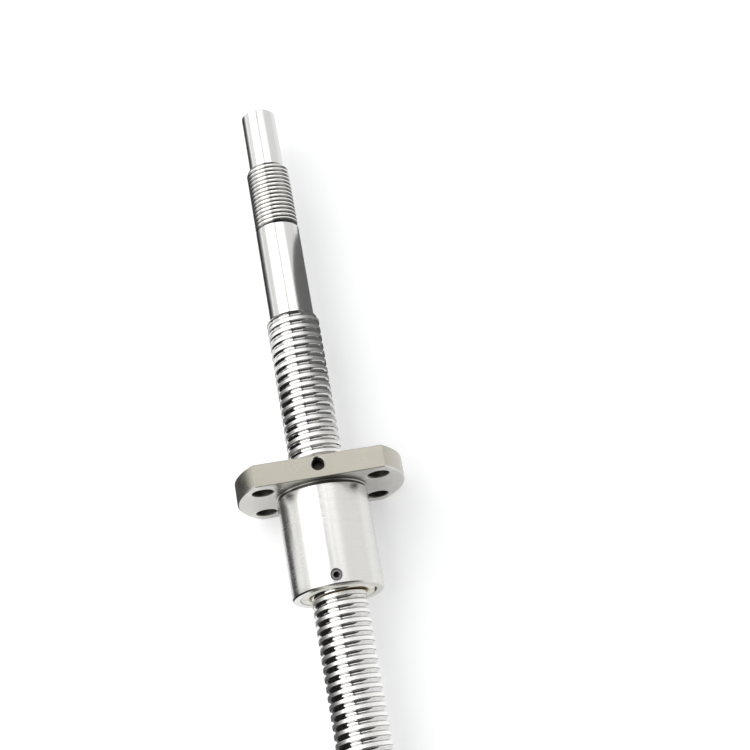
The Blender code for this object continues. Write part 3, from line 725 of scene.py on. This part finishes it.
def hole_cutters():
    """Everything that opens the nut's outside: bolt, oil and set screw holes, and the insert windows."""
    bm = bmesh.new()
    bolt = [
        (flange_back_x - CUT_OVERRUN, 0),
        (flange_back_x - CUT_OVERRUN, BOLT_HOLE_RADIUS + HOLE_CHAMFER + CUT_OVERRUN),
        (flange_back_x + HOLE_CHAMFER, BOLT_HOLE_RADIUS),
        (flange_face_x - HOLE_CHAMFER, BOLT_HOLE_RADIUS),
        (flange_face_x + CUT_OVERRUN, BOLT_HOLE_RADIUS + HOLE_CHAMFER + CUT_OVERRUN),
        (flange_face_x + CUT_OVERRUN, 0),
    ]
    for angle in (BOLT_ANGLE, math.pi - BOLT_ANGLE, math.pi + BOLT_ANGLE, -BOLT_ANGLE):
        centre = Vector((0, math.cos(angle), math.sin(angle))) * BOLT_CIRCLE_RADIUS
        moved_turning(bm, bolt, HOLE_FACETS, Matrix.Translation(centre))
    floor = flat_height - OIL_HOLE_DEPTH
    crests = math.floor((OIL_HOLE_DEPTH - 2 * HOLE_CHAMFER) / OIL_THREAD_PITCH)
    oil = [(floor, 0), (floor, OIL_HOLE_RADIUS - OIL_THREAD_DEPTH)]
    for i in range(crests):
        level = floor + OIL_THREAD_PITCH * i
        oil.append((level + OIL_THREAD_FLAT, OIL_HOLE_RADIUS - OIL_THREAD_DEPTH))
        oil.append((level + OIL_THREAD_PITCH / 2, OIL_HOLE_RADIUS))
    oil += mouth(OIL_HOLE_RADIUS, HOLE_CHAMFER, flat_height)
    moved_turning(bm, oil, HOLE_FACETS, outwards_from(flange_face_x - OIL_HOLE_FROM_FACE, UPWARDS))
    wall = SEAT_RADIUS - CUT_OVERRUN
    screw_hole = SET_SCREW_RADIUS + SET_SCREW_CLEARANCE
    screw = [(wall, 0), (wall, screw_hole), *mouth(screw_hole, HOLE_CHAMFER / 2, BARREL_RADIUS)]
    moved_turning(bm, screw, HOLE_FACETS, outwards_from(set_screw_x, UPWARDS))
    for number in INSERT_NUMBERS:
        insert_block(bm, number, 2 * INSERT_CLEARANCE)
    return bm


def grained_steel(name, colour, edge_colour, roughness, haze=0.05, grains=9000, depth=0.004 * MM):
    """Steel with a fine even grain, faint patches and bare edges."""
    made, tree, shader = finish_of(name, 1.0)
    grain = placed_group(tree, fine_grain, Grains_per_metre=grains)
    edges = placed_group(tree, worn_edges, Reach=0.05)
    link(tree, blend_colours(tree, edges.outputs["Mask"], colour, edge_colour), shader.inputs["Base Color"])
    rough = varied(tree, grain.outputs["Patches"], roughness - haze, roughness + haze)
    link(tree, rough, shader.inputs["Roughness"])
    bumped(tree, shader, grain.outputs["Height"], depth)
    return made


# SHADED marks the faces that get painted shade: the walls of the bolt and oil holes and the floor of the
# neck.
GROUND, TURNED, SHADED, BLASTED = range(4)


def nut_finish(corners):
    """Which finish a face has, by where its corners are: the holes and the neck's floor get a near black
    painted shade.
    """
    slack = 0.02 * MM
    bolt_y = BOLT_CIRCLE_RADIUS * math.cos(BOLT_ANGLE)
    bolt_z = BOLT_CIRCLE_RADIUS * math.sin(BOLT_ANGLE)
    oil_hole_x = flange_face_x - OIL_HOLE_FROM_FACE
    radii = [math.hypot(c.y, c.z) for c in corners]
    to_bolt = max(math.hypot(abs(c.y) - bolt_y, abs(c.z) - bolt_z) for c in corners)
    to_oil = max(math.hypot(c.x - oil_hole_x, c.y) for c in corners)
    low_x, high_x = min(c.x for c in corners), max(c.x for c in corners)
    if to_bolt < BOLT_HOLE_RADIUS + HOLE_CHAMFER + slack:
        return SHADED
    if to_oil < OIL_HOLE_RADIUS + HOLE_CHAMFER + slack and min(c.z for c in corners) > SEAT_RADIUS:
        return SHADED if to_oil < OIL_HOLE_RADIUS + slack else GROUND
    in_neck = SEAT_RADIUS < min(radii) and max(radii) < BARREL_RADIUS - NECK_GROOVE_DEPTH + slack
    if in_neck and barrel_start_x - slack < low_x and high_x < flange_back_x + slack:
        return SHADED
    if low_x > flange_back_x - slack and max(radii) > SEAT_RADIUS + HOLE_CHAMFER:
        outside = min(abs(c.z) for c in corners) > flat_height - slack or min(radii) > FLANGE_RADIUS - slack
        return BLASTED if outside else TURNED
    return GROUND


barrel_steel = turned_steel(
    "ground_barrel_steel",
    colour=(0.62, 0.615, 0.59),
    edge_colour=(0.72, 0.715, 0.69),
    roughness=0.26,
    haze=0.025,
    lines=6000,
    depth=0.0015 * MM,
)
flange_steel = turned_steel(
    "turned_flange_steel",
    colour=(0.50, 0.49, 0.46),
    edge_colour=(0.64, 0.63, 0.60),
    roughness=0.3,
    haze=0.03,
    lines=5000,
    depth=0.0015 * MM,
)
flat_steel = grained_steel(
    "blasted_flat_steel", colour=(0.40, 0.378, 0.322), edge_colour=(0.44, 0.417, 0.36), roughness=0.3
)
# Near black painted shade for the walls of the bolt and oil holes and the floor of the neck groove.
hole_shade_steel = grained_steel(
    "hole_painted_shade", colour=(0.07, 0.067, 0.06), edge_colour=(0.16, 0.155, 0.14), roughness=0.45
)
nut = object_from("ball_nut_body", nut_blank())
cut(nut, flat_cutters())
cut(nut, hole_cutters())
dress(nut, [barrel_steel, flange_steel, hole_shade_steel, flat_steel])
on_axis = Vector((0, 0, axis_height))
for face in nut.data.polygons:
    face.material_index = nut_finish([nut.data.vertices[i].co - on_axis for i in face.vertices])
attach(nut, "nut")
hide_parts("nut_body")

# Return inserts
# Four sintered steel pieces, pressed into the barrel's windows and flush with its bore. Each guides the
# balls out of the groove and over one land, back to the start of their circuit.
INSERT_RECESS = 0.2 * MM
INSERT_EDGE = 0.12 * MM
SOFTENED_ANGLE = math.radians(50)
CHANNEL_RADIUS = 0.68 * MM
CHANNEL_STEPS = 24
CHANNEL_SIDES = 20
CHANNEL_LEAD_IN = math.radians(14)
RETURN_CIRCLE_RADIUS = SCREW_RADIUS + CHANNEL_RADIUS
RETURN_HALF_ANGLE = 4 * BALL_DIAMETER / (BALL_CIRCLE_RADIUS + RETURN_CIRCLE_RADIUS)
RETURN_SHIFT = LEAD * (1 - 2 * RETURN_HALF_ANGLE / TURN)


def circuit_point(number, angle, radius=BALL_CIRCLE_RADIUS):
    """A point of a circuit's helix at an angle counted from its insert on."""
    x = insert_x(number) - LEAD / 2 + LEAD * angle / TURN
    full = INSERT_ANGLES[number - 1] + angle
    return Vector((x, radius * math.cos(full), radius * math.sin(full)))


def channel_path(number):
    """The middle line of the channel, from one groove over the land to the groove before it."""
    path = [circuit_point(number, TURN - RETURN_HALF_ANGLE - CHANNEL_LEAD_IN)]
    for i in range(CHANNEL_STEPS + 1):
        t = 2 * i / CHANNEL_STEPS - 1
        radius = BALL_CIRCLE_RADIUS + (RETURN_CIRCLE_RADIUS - BALL_CIRCLE_RADIUS) * (1 - t**4)
        point = circuit_point(number, RETURN_HALF_ANGLE * t, radius)
        point.x = insert_x(number) - RETURN_SHIFT / 2 * math.sin(math.pi / 2 * t)
        path.append(point)
    path.append(circuit_point(number, RETURN_HALF_ANGLE + CHANNEL_LEAD_IN))
    return path


def channel_cutter(number):
    """A round bar along the channel's middle line."""
    bm = bmesh.new()
    path = channel_path(number)
    rings = []
    for i, point in enumerate(path):
        ahead = (path[min(i + 1, len(path) - 1)] - path[max(i - 1, 0)]).normalized()
        side = ahead.cross(Vector((0, point.y, point.z))).normalized()
        out = side.cross(ahead)
        ring = []
        for j in range(CHANNEL_SIDES):
            angle = TURN * j / CHANNEL_SIDES
            spoke = math.cos(angle) * out + math.sin(angle) * side
            ring.append(bm.verts.new(point + CHANNEL_RADIUS * spoke))
        rings.append(ring)
    for near, far in zip(rings, rings[1:]):
        for j in range(CHANNEL_SIDES):
            k = (j + 1) % CHANNEL_SIDES
            bm.faces.new((near[j], near[k], far[k], far[j]))
    bm.faces.new(rings[0])
    bm.faces.new(rings[-1])
    return bm


def insert_limits():
    """The tube between the bore and the recess under the barrel's surface, which trims each insert."""
    bm = bmesh.new()
    top = BARREL_RADIUS - INSERT_RECESS
    corners = [
        (nut_end_x, BORE_RADIUS),
        (nut_end_x, top),
        (flange_face_x, top),
        (flange_face_x, BORE_RADIUS),
    ]
    turned(bm, corners, NUT_FACETS, closed=True)
    return bm


def soften(made, width):
    """Rounds the outer edges of a piece a little."""
    modifier = made.modifiers.new("edge", "BEVEL")
    modifier.width = width
    modifier.segments = 2
    modifier.limit_method = "ANGLE"
    modifier.angle_limit = SOFTENED_ANGLE
    bake(made)


insert_steel = grained_steel(
    "sintered_insert_steel", colour=(0.33, 0.32, 0.31), edge_colour=(0.5, 0.49, 0.47), roughness=0.42
)
for number in INSERT_NUMBERS:
    bm = bmesh.new()
    insert_block(bm, number, 0.0)
    insert = object_from(f"return_insert_steel_{number}", bm)
    cut(insert, insert_limits(), "INTERSECT")
    soften(insert, INSERT_EDGE)
    cut(insert, channel_cutter(number))
    dress(insert, [insert_steel])
    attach(insert, "nut")
    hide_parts(f"return_insert_{number}")

# Balls
# Chrome steel balls, ground and lapped bright. Each circuit carries 28 under load in the groove, one
# behind the other, and three more are on their way back through its insert.
LOADED_BALLS = 28
RETURN_BALLS = 3
BALL_SEGMENTS = 20
BALL_RINGS = 12
BALL_ROUGHNESS = (0.05, 0.13)


def lapped_steel(name, colour, smear_colour):
    """Bright lapped steel with a thin uneven film of oil."""
    made, tree, shader = finish_of(name, 1.0)
    film = placed_group(tree, fine_grain, Grains_per_metre=4000)
    smeared = blend_colours(tree, film.outputs["Height"], colour, smear_colour)
    link(tree, smeared, shader.inputs["Base Color"])
    link(tree, varied(tree, film.outputs["Patches"], *BALL_ROUGHNESS), shader.inputs["Roughness"])
    return made


def add_ball(bm, centre):
    """Adds one ball to a row."""
    place = Matrix.Translation(centre)
    bmesh.ops.create_uvsphere(
        bm, u_segments=BALL_SEGMENTS, v_segments=BALL_RINGS, radius=BALL_DIAMETER / 2, matrix=place
    )


ball_steel = lapped_steel("lapped_ball_steel", (0.72, 0.72, 0.73), (0.64, 0.63, 0.60))
ball_pitch = BALL_DIAMETER / math.hypot(BALL_CIRCLE_RADIUS, LEAD / TURN)
for number in INSERT_NUMBERS:
    bm = bmesh.new()
    first = TURN / 2 - (LOADED_BALLS - 1) / 2 * ball_pitch
    for i in range(LOADED_BALLS):
        add_ball(bm, circuit_point(number, first + i * ball_pitch))
    row = dress(object_from(f"loaded_balls_{number}", bm), [ball_steel])
    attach(row, "nut")
    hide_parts(f"loaded_ball_row_{number}")
    for i in range(1, RETURN_BALLS + 1):
        low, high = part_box(f"return_ball_{number}_{i}")
        bm = bmesh.new()
        add_ball(bm, (low + high) / 2 - Vector((0, 0, axis_height)))
        ball = dress(object_from(f"returning_ball_{number}_{i}", bm), [ball_steel])
        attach(ball, "nut")
        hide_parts(f"return_ball_{number}_{i}")

# Wipers
# Moulded acetal rings that keep dirt off the balls. The end wiper sits in the open end of the barrel,
# with a notch and fine slits in its face and a painted warm shade on its lip; the thin one sits in the
# flange.
WIPER_RADIUS = 8.2 * MM
WIPER_BORE = 6.15 * MM
WIPER_CHAMFER = 0.4 * MM
WIPER_GAP = 0.1 * MM
# The radii over which the lip's painted warm shade fades out, with a ragged edge.
LIP_SHADE_RADII = (6.10 * MM, 6.40 * MM)
LIP_SHADE_RAGGEDNESS = 0.3 * MM
NOTCH_ANGLE = math.radians(182)
NOTCH_WIDTH = 4.0 * MM
NOTCH_DEPTH = 0.55 * MM
SLIT_WIDTH = 0.3 * MM
SLIT_DEPTH = 0.6 * MM
WIPER_FACETS = 120
ACETAL_PATCHES = (0.4, 0.65)
ACETAL_ROUGHNESS = (0.36, 0.48)


def moulded_acetal(name, colour, lip_shade_colour, patch_colour):
    """Ivory acetal, with a warm brown painted shade round the lip that rubs on the screw."""
    made, tree, shader = finish_of(name, 0.0)
    grain = placed_group(tree, fine_grain, Grains_per_metre=5000)
    patches = spread(tree, grain.outputs["Patches"], *ACETAL_PATCHES, 0.0, 1.0)
    clean = blend_colours(tree, patches, colour, patch_colour)
    place = placed_group(tree, axis_places)
    radius = place.outputs["Radius"]
    ragged = maths(tree, "MULTIPLY_ADD", grain.outputs["Patches"], -LIP_SHADE_RAGGEDNESS, radius)
    lip_shade = spread(tree, ragged, *LIP_SHADE_RADII, 1.0, 0.0)
    link(tree, blend_colours(tree, lip_shade, clean, lip_shade_colour), shader.inputs["Base Color"])
    link(tree, spread(tree, patches, 0.0, 1.0, *ACETAL_ROUGHNESS), shader.inputs["Roughness"])
    bumped(tree, shader, grain.outputs["Height"], 0.004 * MM, strength=0.8)
    return made


def cut_block(target, x, radius, height, width, depth):
    """Cuts a block away at the notch, with its height away from the axis and its depth along it."""
    bm = bmesh.new()
    size = Matrix.Diagonal((height, width, depth, 1))
    bmesh.ops.create_cube(bm, size=1, matrix=outwards_from(x, NOTCH_ANGLE, radius) @ size)
    cut(target, bm)


acetal = moulded_acetal(
    "ivory_acetal",
    colour=(0.90, 0.88, 0.81),
    lip_shade_colour=(0.42, 0.31, 0.15),
    patch_colour=(0.84, 0.81, 0.71),
)
wiper_face_x = nut_end_x + WIPER_GAP
wiper_back_x = end_seat_x - WIPER_GAP
end_outline = [
    (wiper_face_x, WIPER_BORE + WIPER_CHAMFER),
    (wiper_face_x, WIPER_RADIUS - HOLE_CHAMFER / 2),
    (wiper_face_x + HOLE_CHAMFER / 2, WIPER_RADIUS),
    (wiper_back_x, WIPER_RADIUS),
    (wiper_back_x, WIPER_BORE),
    (wiper_face_x + WIPER_CHAMFER, WIPER_BORE),
]
bm = bmesh.new()
turned(bm, end_outline, WIPER_FACETS, closed=True)
end_wiper = object_from("end_wiper_ring", bm)
cut_block(end_wiper, nut_end_x, SEAT_RADIUS, 2 * NOTCH_DEPTH, NOTCH_WIDTH, 3 * END_SEAT_DEPTH)
cut_block(end_wiper, wiper_face_x, 0.0, 3 * SEAT_RADIUS, SLIT_WIDTH, 2 * SLIT_DEPTH)
dress(end_wiper, [acetal])
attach(end_wiper, "nut")
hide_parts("end_wiper")

ring_low, ring_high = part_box("flange_wiper")
ring_outline = [
    (ring_low.x, WIPER_BORE),
    (ring_low.x, WIPER_RADIUS),
    (ring_high.x - HOLE_CHAMFER / 2, WIPER_RADIUS),
    (ring_high.x, WIPER_RADIUS - HOLE_CHAMFER / 2),
    (ring_high.x, WIPER_BORE + HOLE_CHAMFER),
    (ring_high.x - HOLE_CHAMFER, WIPER_BORE),
]
bm = bmesh.new()
turned(bm, ring_outline, WIPER_FACETS, closed=True)
flange_wiper = dress(object_from("flange_wiper_ring", bm), [acetal])
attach(flange_wiper, "nut_carriage")
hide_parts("flange_wiper")

# Set screw
# A black socket set screw in the barrel. Its thread holds it in the tapped hole, and its point presses
# on the end wiper and keeps it in its seat.
SET_SCREW_RECESS = 0.3 * MM
SET_SCREW_PITCH = 0.45 * MM
SET_SCREW_THREAD_DEPTH = 0.12 * MM
SOCKET_ACROSS_FLATS = 1.3 * MM
SOCKET_DEPTH = 0.8 * MM
SOCKET_SIDES = 6
OXIDE_LOOK = {"roughness": 0.42, "haze": 0.08, "grains": 12000, "depth": 0.003 * MM}

set_screw_bottom = WIPER_RADIUS + SET_SCREW_CLEARANCE
set_screw_top = BARREL_RADIUS - SET_SCREW_RECESS
root = SET_SCREW_RADIUS - SET_SCREW_THREAD_DEPTH
screw_outline = [(set_screw_bottom, 0), (set_screw_bottom, root - HOLE_CHAMFER)]
level = set_screw_bottom + HOLE_CHAMFER
while level + SET_SCREW_PITCH / 2 < set_screw_top - HOLE_CHAMFER / 2:
    screw_outline.append((level, root))
    screw_outline.append((level + SET_SCREW_PITCH / 2, SET_SCREW_RADIUS))
    level += SET_SCREW_PITCH
screw_outline += [(set_screw_top, root), (set_screw_top, 0)]
upright = outwards_from(set_screw_x, UPWARDS)
bm = bmesh.new()
moved_turning(bm, screw_outline, HOLE_FACETS, upright)
set_screw = object_from("socket_set_screw", bm)
socket_radius = SOCKET_ACROSS_FLATS / math.sqrt(3)
socket_outline = [
    (set_screw_top - SOCKET_DEPTH - SOCKET_ACROSS_FLATS / 4, 0),
    (set_screw_top - SOCKET_DEPTH, socket_radius),
    (set_screw_top + SOCKET_DEPTH, socket_radius),
    (set_screw_top + SOCKET_DEPTH, 0),
]
bm = bmesh.new()
moved_turning(bm, socket_outline, SOCKET_SIDES, upright)
cut(set_screw, bm)
oxide = grained_steel("black_oxide", (0.10, 0.10, 0.105), (0.22, 0.22, 0.22), **OXIDE_LOOK)
# The socket's walls and floor get a near black painted shade.
socket_painted_shade = grained_steel("socket_painted_shade", (0.012, 0.012, 0.013), (0.03, 0.03, 0.03), **OXIDE_LOOK)
dress(set_screw, [oxide, socket_painted_shade])
# Faces inside the socket, below the screw's top, take the painted shade.
face_height = axis_height + set_screw_top
for face in set_screw.data.polygons:
    inside = math.hypot(face.center.x - set_screw_x, face.center.y) < socket_radius
    face.material_index = int(inside and face.center.z < face_height - 10 * TOUCHING)
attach(set_screw, "nut")
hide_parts("wiper_set_screw")

# Table and studio
# A white table under the part, lit by a long soft lamp over its left side, two small ones over the drive
# end and a weak fill from beyond the nut. Dark boards out of sight draw the streaks along the steel, and
# those on the table paint its shade into the steel's reflections.
TABLE_SIZE = 6.0
TABLE_GAP = 0.02 * MM
TABLE_COLOUR = (0.82, 0.82, 0.825)
TABLE_GLOW = 0.30
MATT = 0.9
ROOM_COLOUR = (0.98, 0.99, 1.0)
ROOM_STRENGTH = 0.55
BLACK_TONE = 0.02
DARK_TONE = 0.06
GREY_TONE = 0.2
STRIP_HEIGHT = 0.5 * MM
LEFT_WALL_Y = 15 * MM
LEFT_WALL_TOP = 23 * MM
LEFT_WALL_END_TOP = 21 * MM
RIGHT_WALL_Y = -21 * MM
RIGHT_WALL_TOP = 38 * MM


def plate(name, corners, material):
    """A flat four-sided sheet of the studio, which isn't part of the object."""
    mesh = bpy.data.meshes.new(name)
    mesh.from_pydata(corners, [], [range(len(corners))])
    mesh.materials.append(material)
    made = bpy.data.objects.new(name, mesh)
    scene.collection.objects.link(made)
    return made


def board(name, corners, material):
    """A plate that only shows in reflections and throws no shadow."""
    made = plate(name, corners, material)
    made.visible_camera = False
    made.visible_diffuse = False
    made.visible_shadow = False


def left_wall(name, start_x, end_x, end_top):
    """A black board that stands along the part's left side, with its own height at its far end."""
    foot = [(start_x, LEFT_WALL_Y, 0), (end_x, LEFT_WALL_Y, 0)]
    board(name, [*foot, (end_x, LEFT_WALL_Y, end_top), (start_x, LEFT_WALL_Y, LEFT_WALL_TOP)], black)


def level_corners(start_x, end_x, start_y, end_y, z):
    """The four corners of a level rectangle."""
    return [(start_x, start_y, z), (end_x, start_y, z), (end_x, end_y, z), (start_x, end_y, z)]


def strip(name, start_x, end_x, start_y, end_y, material):
    """A board that lies on the table beside the part, a dark sheet that paints the table's shade and dark
    surroundings into the steel's reflections.
    """
    board(name, level_corners(start_x, end_x, start_y, end_y, STRIP_HEIGHT), material)


def seen_directly(tree):
    """1 for what the camera, a reflection or a refraction sees, and 0 for light that falls on surfaces."""
    path = tree.nodes.new("ShaderNodeLightPath")
    direct = maths(tree, "MAXIMUM", path.outputs["Is Camera Ray"], path.outputs["Is Glossy Ray"])
    return maths(tree, "MAXIMUM", direct, path.outputs["Is Transmission Ray"])


def table_paper():
    """Matt white paper, with a glow towards the camera that lifts it to white and keeps the shadow."""
    made, tree, shader = finish_of("white_table", 0.0)
    shader.inputs["Base Color"].default_value = (*TABLE_COLOUR, 1.0)
    shader.inputs["Roughness"].default_value = MATT
    shader.inputs["Specular IOR Level"].default_value = 0.1
    shader.inputs["Emission Color"].default_value = (1, 1, 1, 1)
    link(tree, maths(tree, "MULTIPLY", seen_directly(tree), TABLE_GLOW), shader.inputs["Emission Strength"])
    return made


def board_paint(name, tone):
    """Matt board of one grey tone."""
    made, _, shader = finish_of(name, 0.0)
    shader.inputs["Base Color"].default_value = (tone, tone, tone, 1.0)
    shader.inputs["Roughness"].default_value = MATT
    return made


half = TABLE_SIZE / 2
plate("table", level_corners(-half, half, -half, half, -TABLE_GAP), table_paper())
black = board_paint("black_board", BLACK_TONE)
dark_grey = board_paint("dark_grey_board", DARK_TONE)
grey = board_paint("grey_board", GREY_TONE)

beyond_tip_x = tip_x + 30 * MM
beyond_nut_x = nut_end_x - 271 * MM
left_wall("left_board_near", beyond_nut_x, nut_end_x + 2 * MM, LEFT_WALL_TOP)
left_wall("left_board_far", flange_face_x + 2 * MM, shoulder_x - 10 * MM, LEFT_WALL_END_TOP)
# These strips are painted reflections of shade on the table beside the part.
strip("thread_strip", beyond_nut_x, nut_end_x - 11 * MM, 7 * MM, LEFT_WALL_Y, grey)
strip("barrel_strip", nut_end_x - 1 * MM, flange_face_x - 1 * MM, 20 * MM, 50 * MM, black)
strip("rim_strip", flange_face_x - 1 * MM, flange_face_x + 19 * MM, 21 * MM, 90 * MM, dark_grey)
strip("journal_strip", shoulder_x, beyond_tip_x, 9 * MM, 26 * MM, black)
strip("journal_outer_strip", shoulder_x, beyond_tip_x, 26 * MM, 50 * MM, grey)
strip("right_strip", shoulder_x - 16 * MM, journal_end_x + 8 * MM, -6 * MM, RIGHT_WALL_Y, grey)
right_corners = [
    (shoulder_x - 24 * MM, RIGHT_WALL_Y, 0),
    (journal_end_x + 8 * MM, RIGHT_WALL_Y, 0),
    (journal_end_x - 2 * MM, RIGHT_WALL_Y, RIGHT_WALL_TOP),
    (shoulder_x - 24 * MM, RIGHT_WALL_Y, RIGHT_WALL_TOP),
]
board("right_board", right_corners, grey)
board("far_board", [(0.6, -0.40, 0), (0.6, 0.48, 0), (0.6, 0.48, 0.74), (0.6, -0.40, 0.74)], black)
near_corners = [(-0.5, -0.42, 0), (-0.5, 0.10, 0), (0.06, 0.10, 0.7), (0.06, -0.42, 0.7)]
board("near_board", near_corners, dark_grey)
board("top_gap", level_corners(-0.1, 0.58, 0.09, 0.147, 0.66), black)


def soft_lamp(name, place, size_along, size_across, radiance):
    """A rectangular lamp that shines at the part, as bright over its face as the radiance says."""
    data = bpy.data.lights.new(name, "AREA")
    data.shape = "RECTANGLE"
    data.size = size_along
    data.size_y = size_across
    data.energy = radiance * math.pi * size_along * size_across
    made = bpy.data.objects.new(name, data)
    back = (Vector(place) - on_axis).normalized()
    along = (Vector((1, 0, 0)) - back * back.x).normalized()
    turn = Matrix((along, back.cross(along), back)).transposed().to_4x4()
    made.matrix_world = Matrix.Translation(place) @ turn
    made.visible_camera = False
    scene.collection.objects.link(made)
    return made


soft_lamp("key_lamp", (0.10, 0.42, 0.58), size_along=0.90, size_across=0.66, radiance=1.9)
soft_lamp("end_lamp", (0.43, -0.18, 0.68), size_along=0.18, size_across=0.56, radiance=1.0)
top_lamp = soft_lamp("top_lamp", (0.32, -0.20, 0.80), size_along=0.50, size_across=0.42, radiance=0.4)
top_lamp.visible_diffuse = False
fill_lamp = soft_lamp("fill_lamp", (-0.60, 0.10, 0.25), size_along=0.40, size_across=0.30, radiance=2.4)
fill_lamp.visible_glossy = False
fill_lamp.data.use_shadow = False

world = bpy.data.worlds.new("white_room")
scene.world = world
world.use_nodes = True
tree = world.node_tree
backdrop = tree.nodes["Background"]
backdrop.inputs["Color"].default_value = (1, 1, 1, 1)
room_light = tree.nodes.new("ShaderNodeBackground")
room_light.inputs["Color"].default_value = (*ROOM_COLOUR, 1.0)
room_light.inputs["Strength"].default_value = ROOM_STRENGTH
choice = tree.nodes.new("ShaderNodeMixShader")
link(tree, seen_directly(tree), choice.inputs["Fac"])
link(tree, room_light.outputs[0], choice.inputs[1])
link(tree, backdrop.outputs[0], choice.inputs[2])
link(tree, choice.outputs[0], tree.nodes["World Output"].inputs["Surface"])

# Camera
# It stands about a third of a metre over the part, beyond the nut's open end, and looks down along the
# screw, so that the drive end is at the top of the picture.
CAMERA_PLACE = Vector((-109.92, 7.92, 346.8)) * MM
CAMERA_AIM = Vector((19.53, -16.29, 12.0)) * MM
CAMERA_LEAN = math.radians(10.61)
CAMERA_LENS = 76.65

camera_data = bpy.data.cameras.new("camera")
camera_data.lens = CAMERA_LENS
camera_data.clip_start = 0.01
camera = bpy.data.objects.new("camera", camera_data)
back = (CAMERA_PLACE - CAMERA_AIM).normalized()
up = (Vector((1, 0, 0)) - back * back.x).normalized()
up = Matrix.Rotation(-CAMERA_LEAN, 3, back) @ up
turn = Matrix((up.cross(back), up, back)).transposed().to_4x4()
camera.matrix_world = Matrix.Translation(CAMERA_PLACE) @ turn
scene.collection.objects.link(camera)
scene.camera = camera
scene.view_settings.view_transform = "Standard"

bpy.context.view_layer.update()
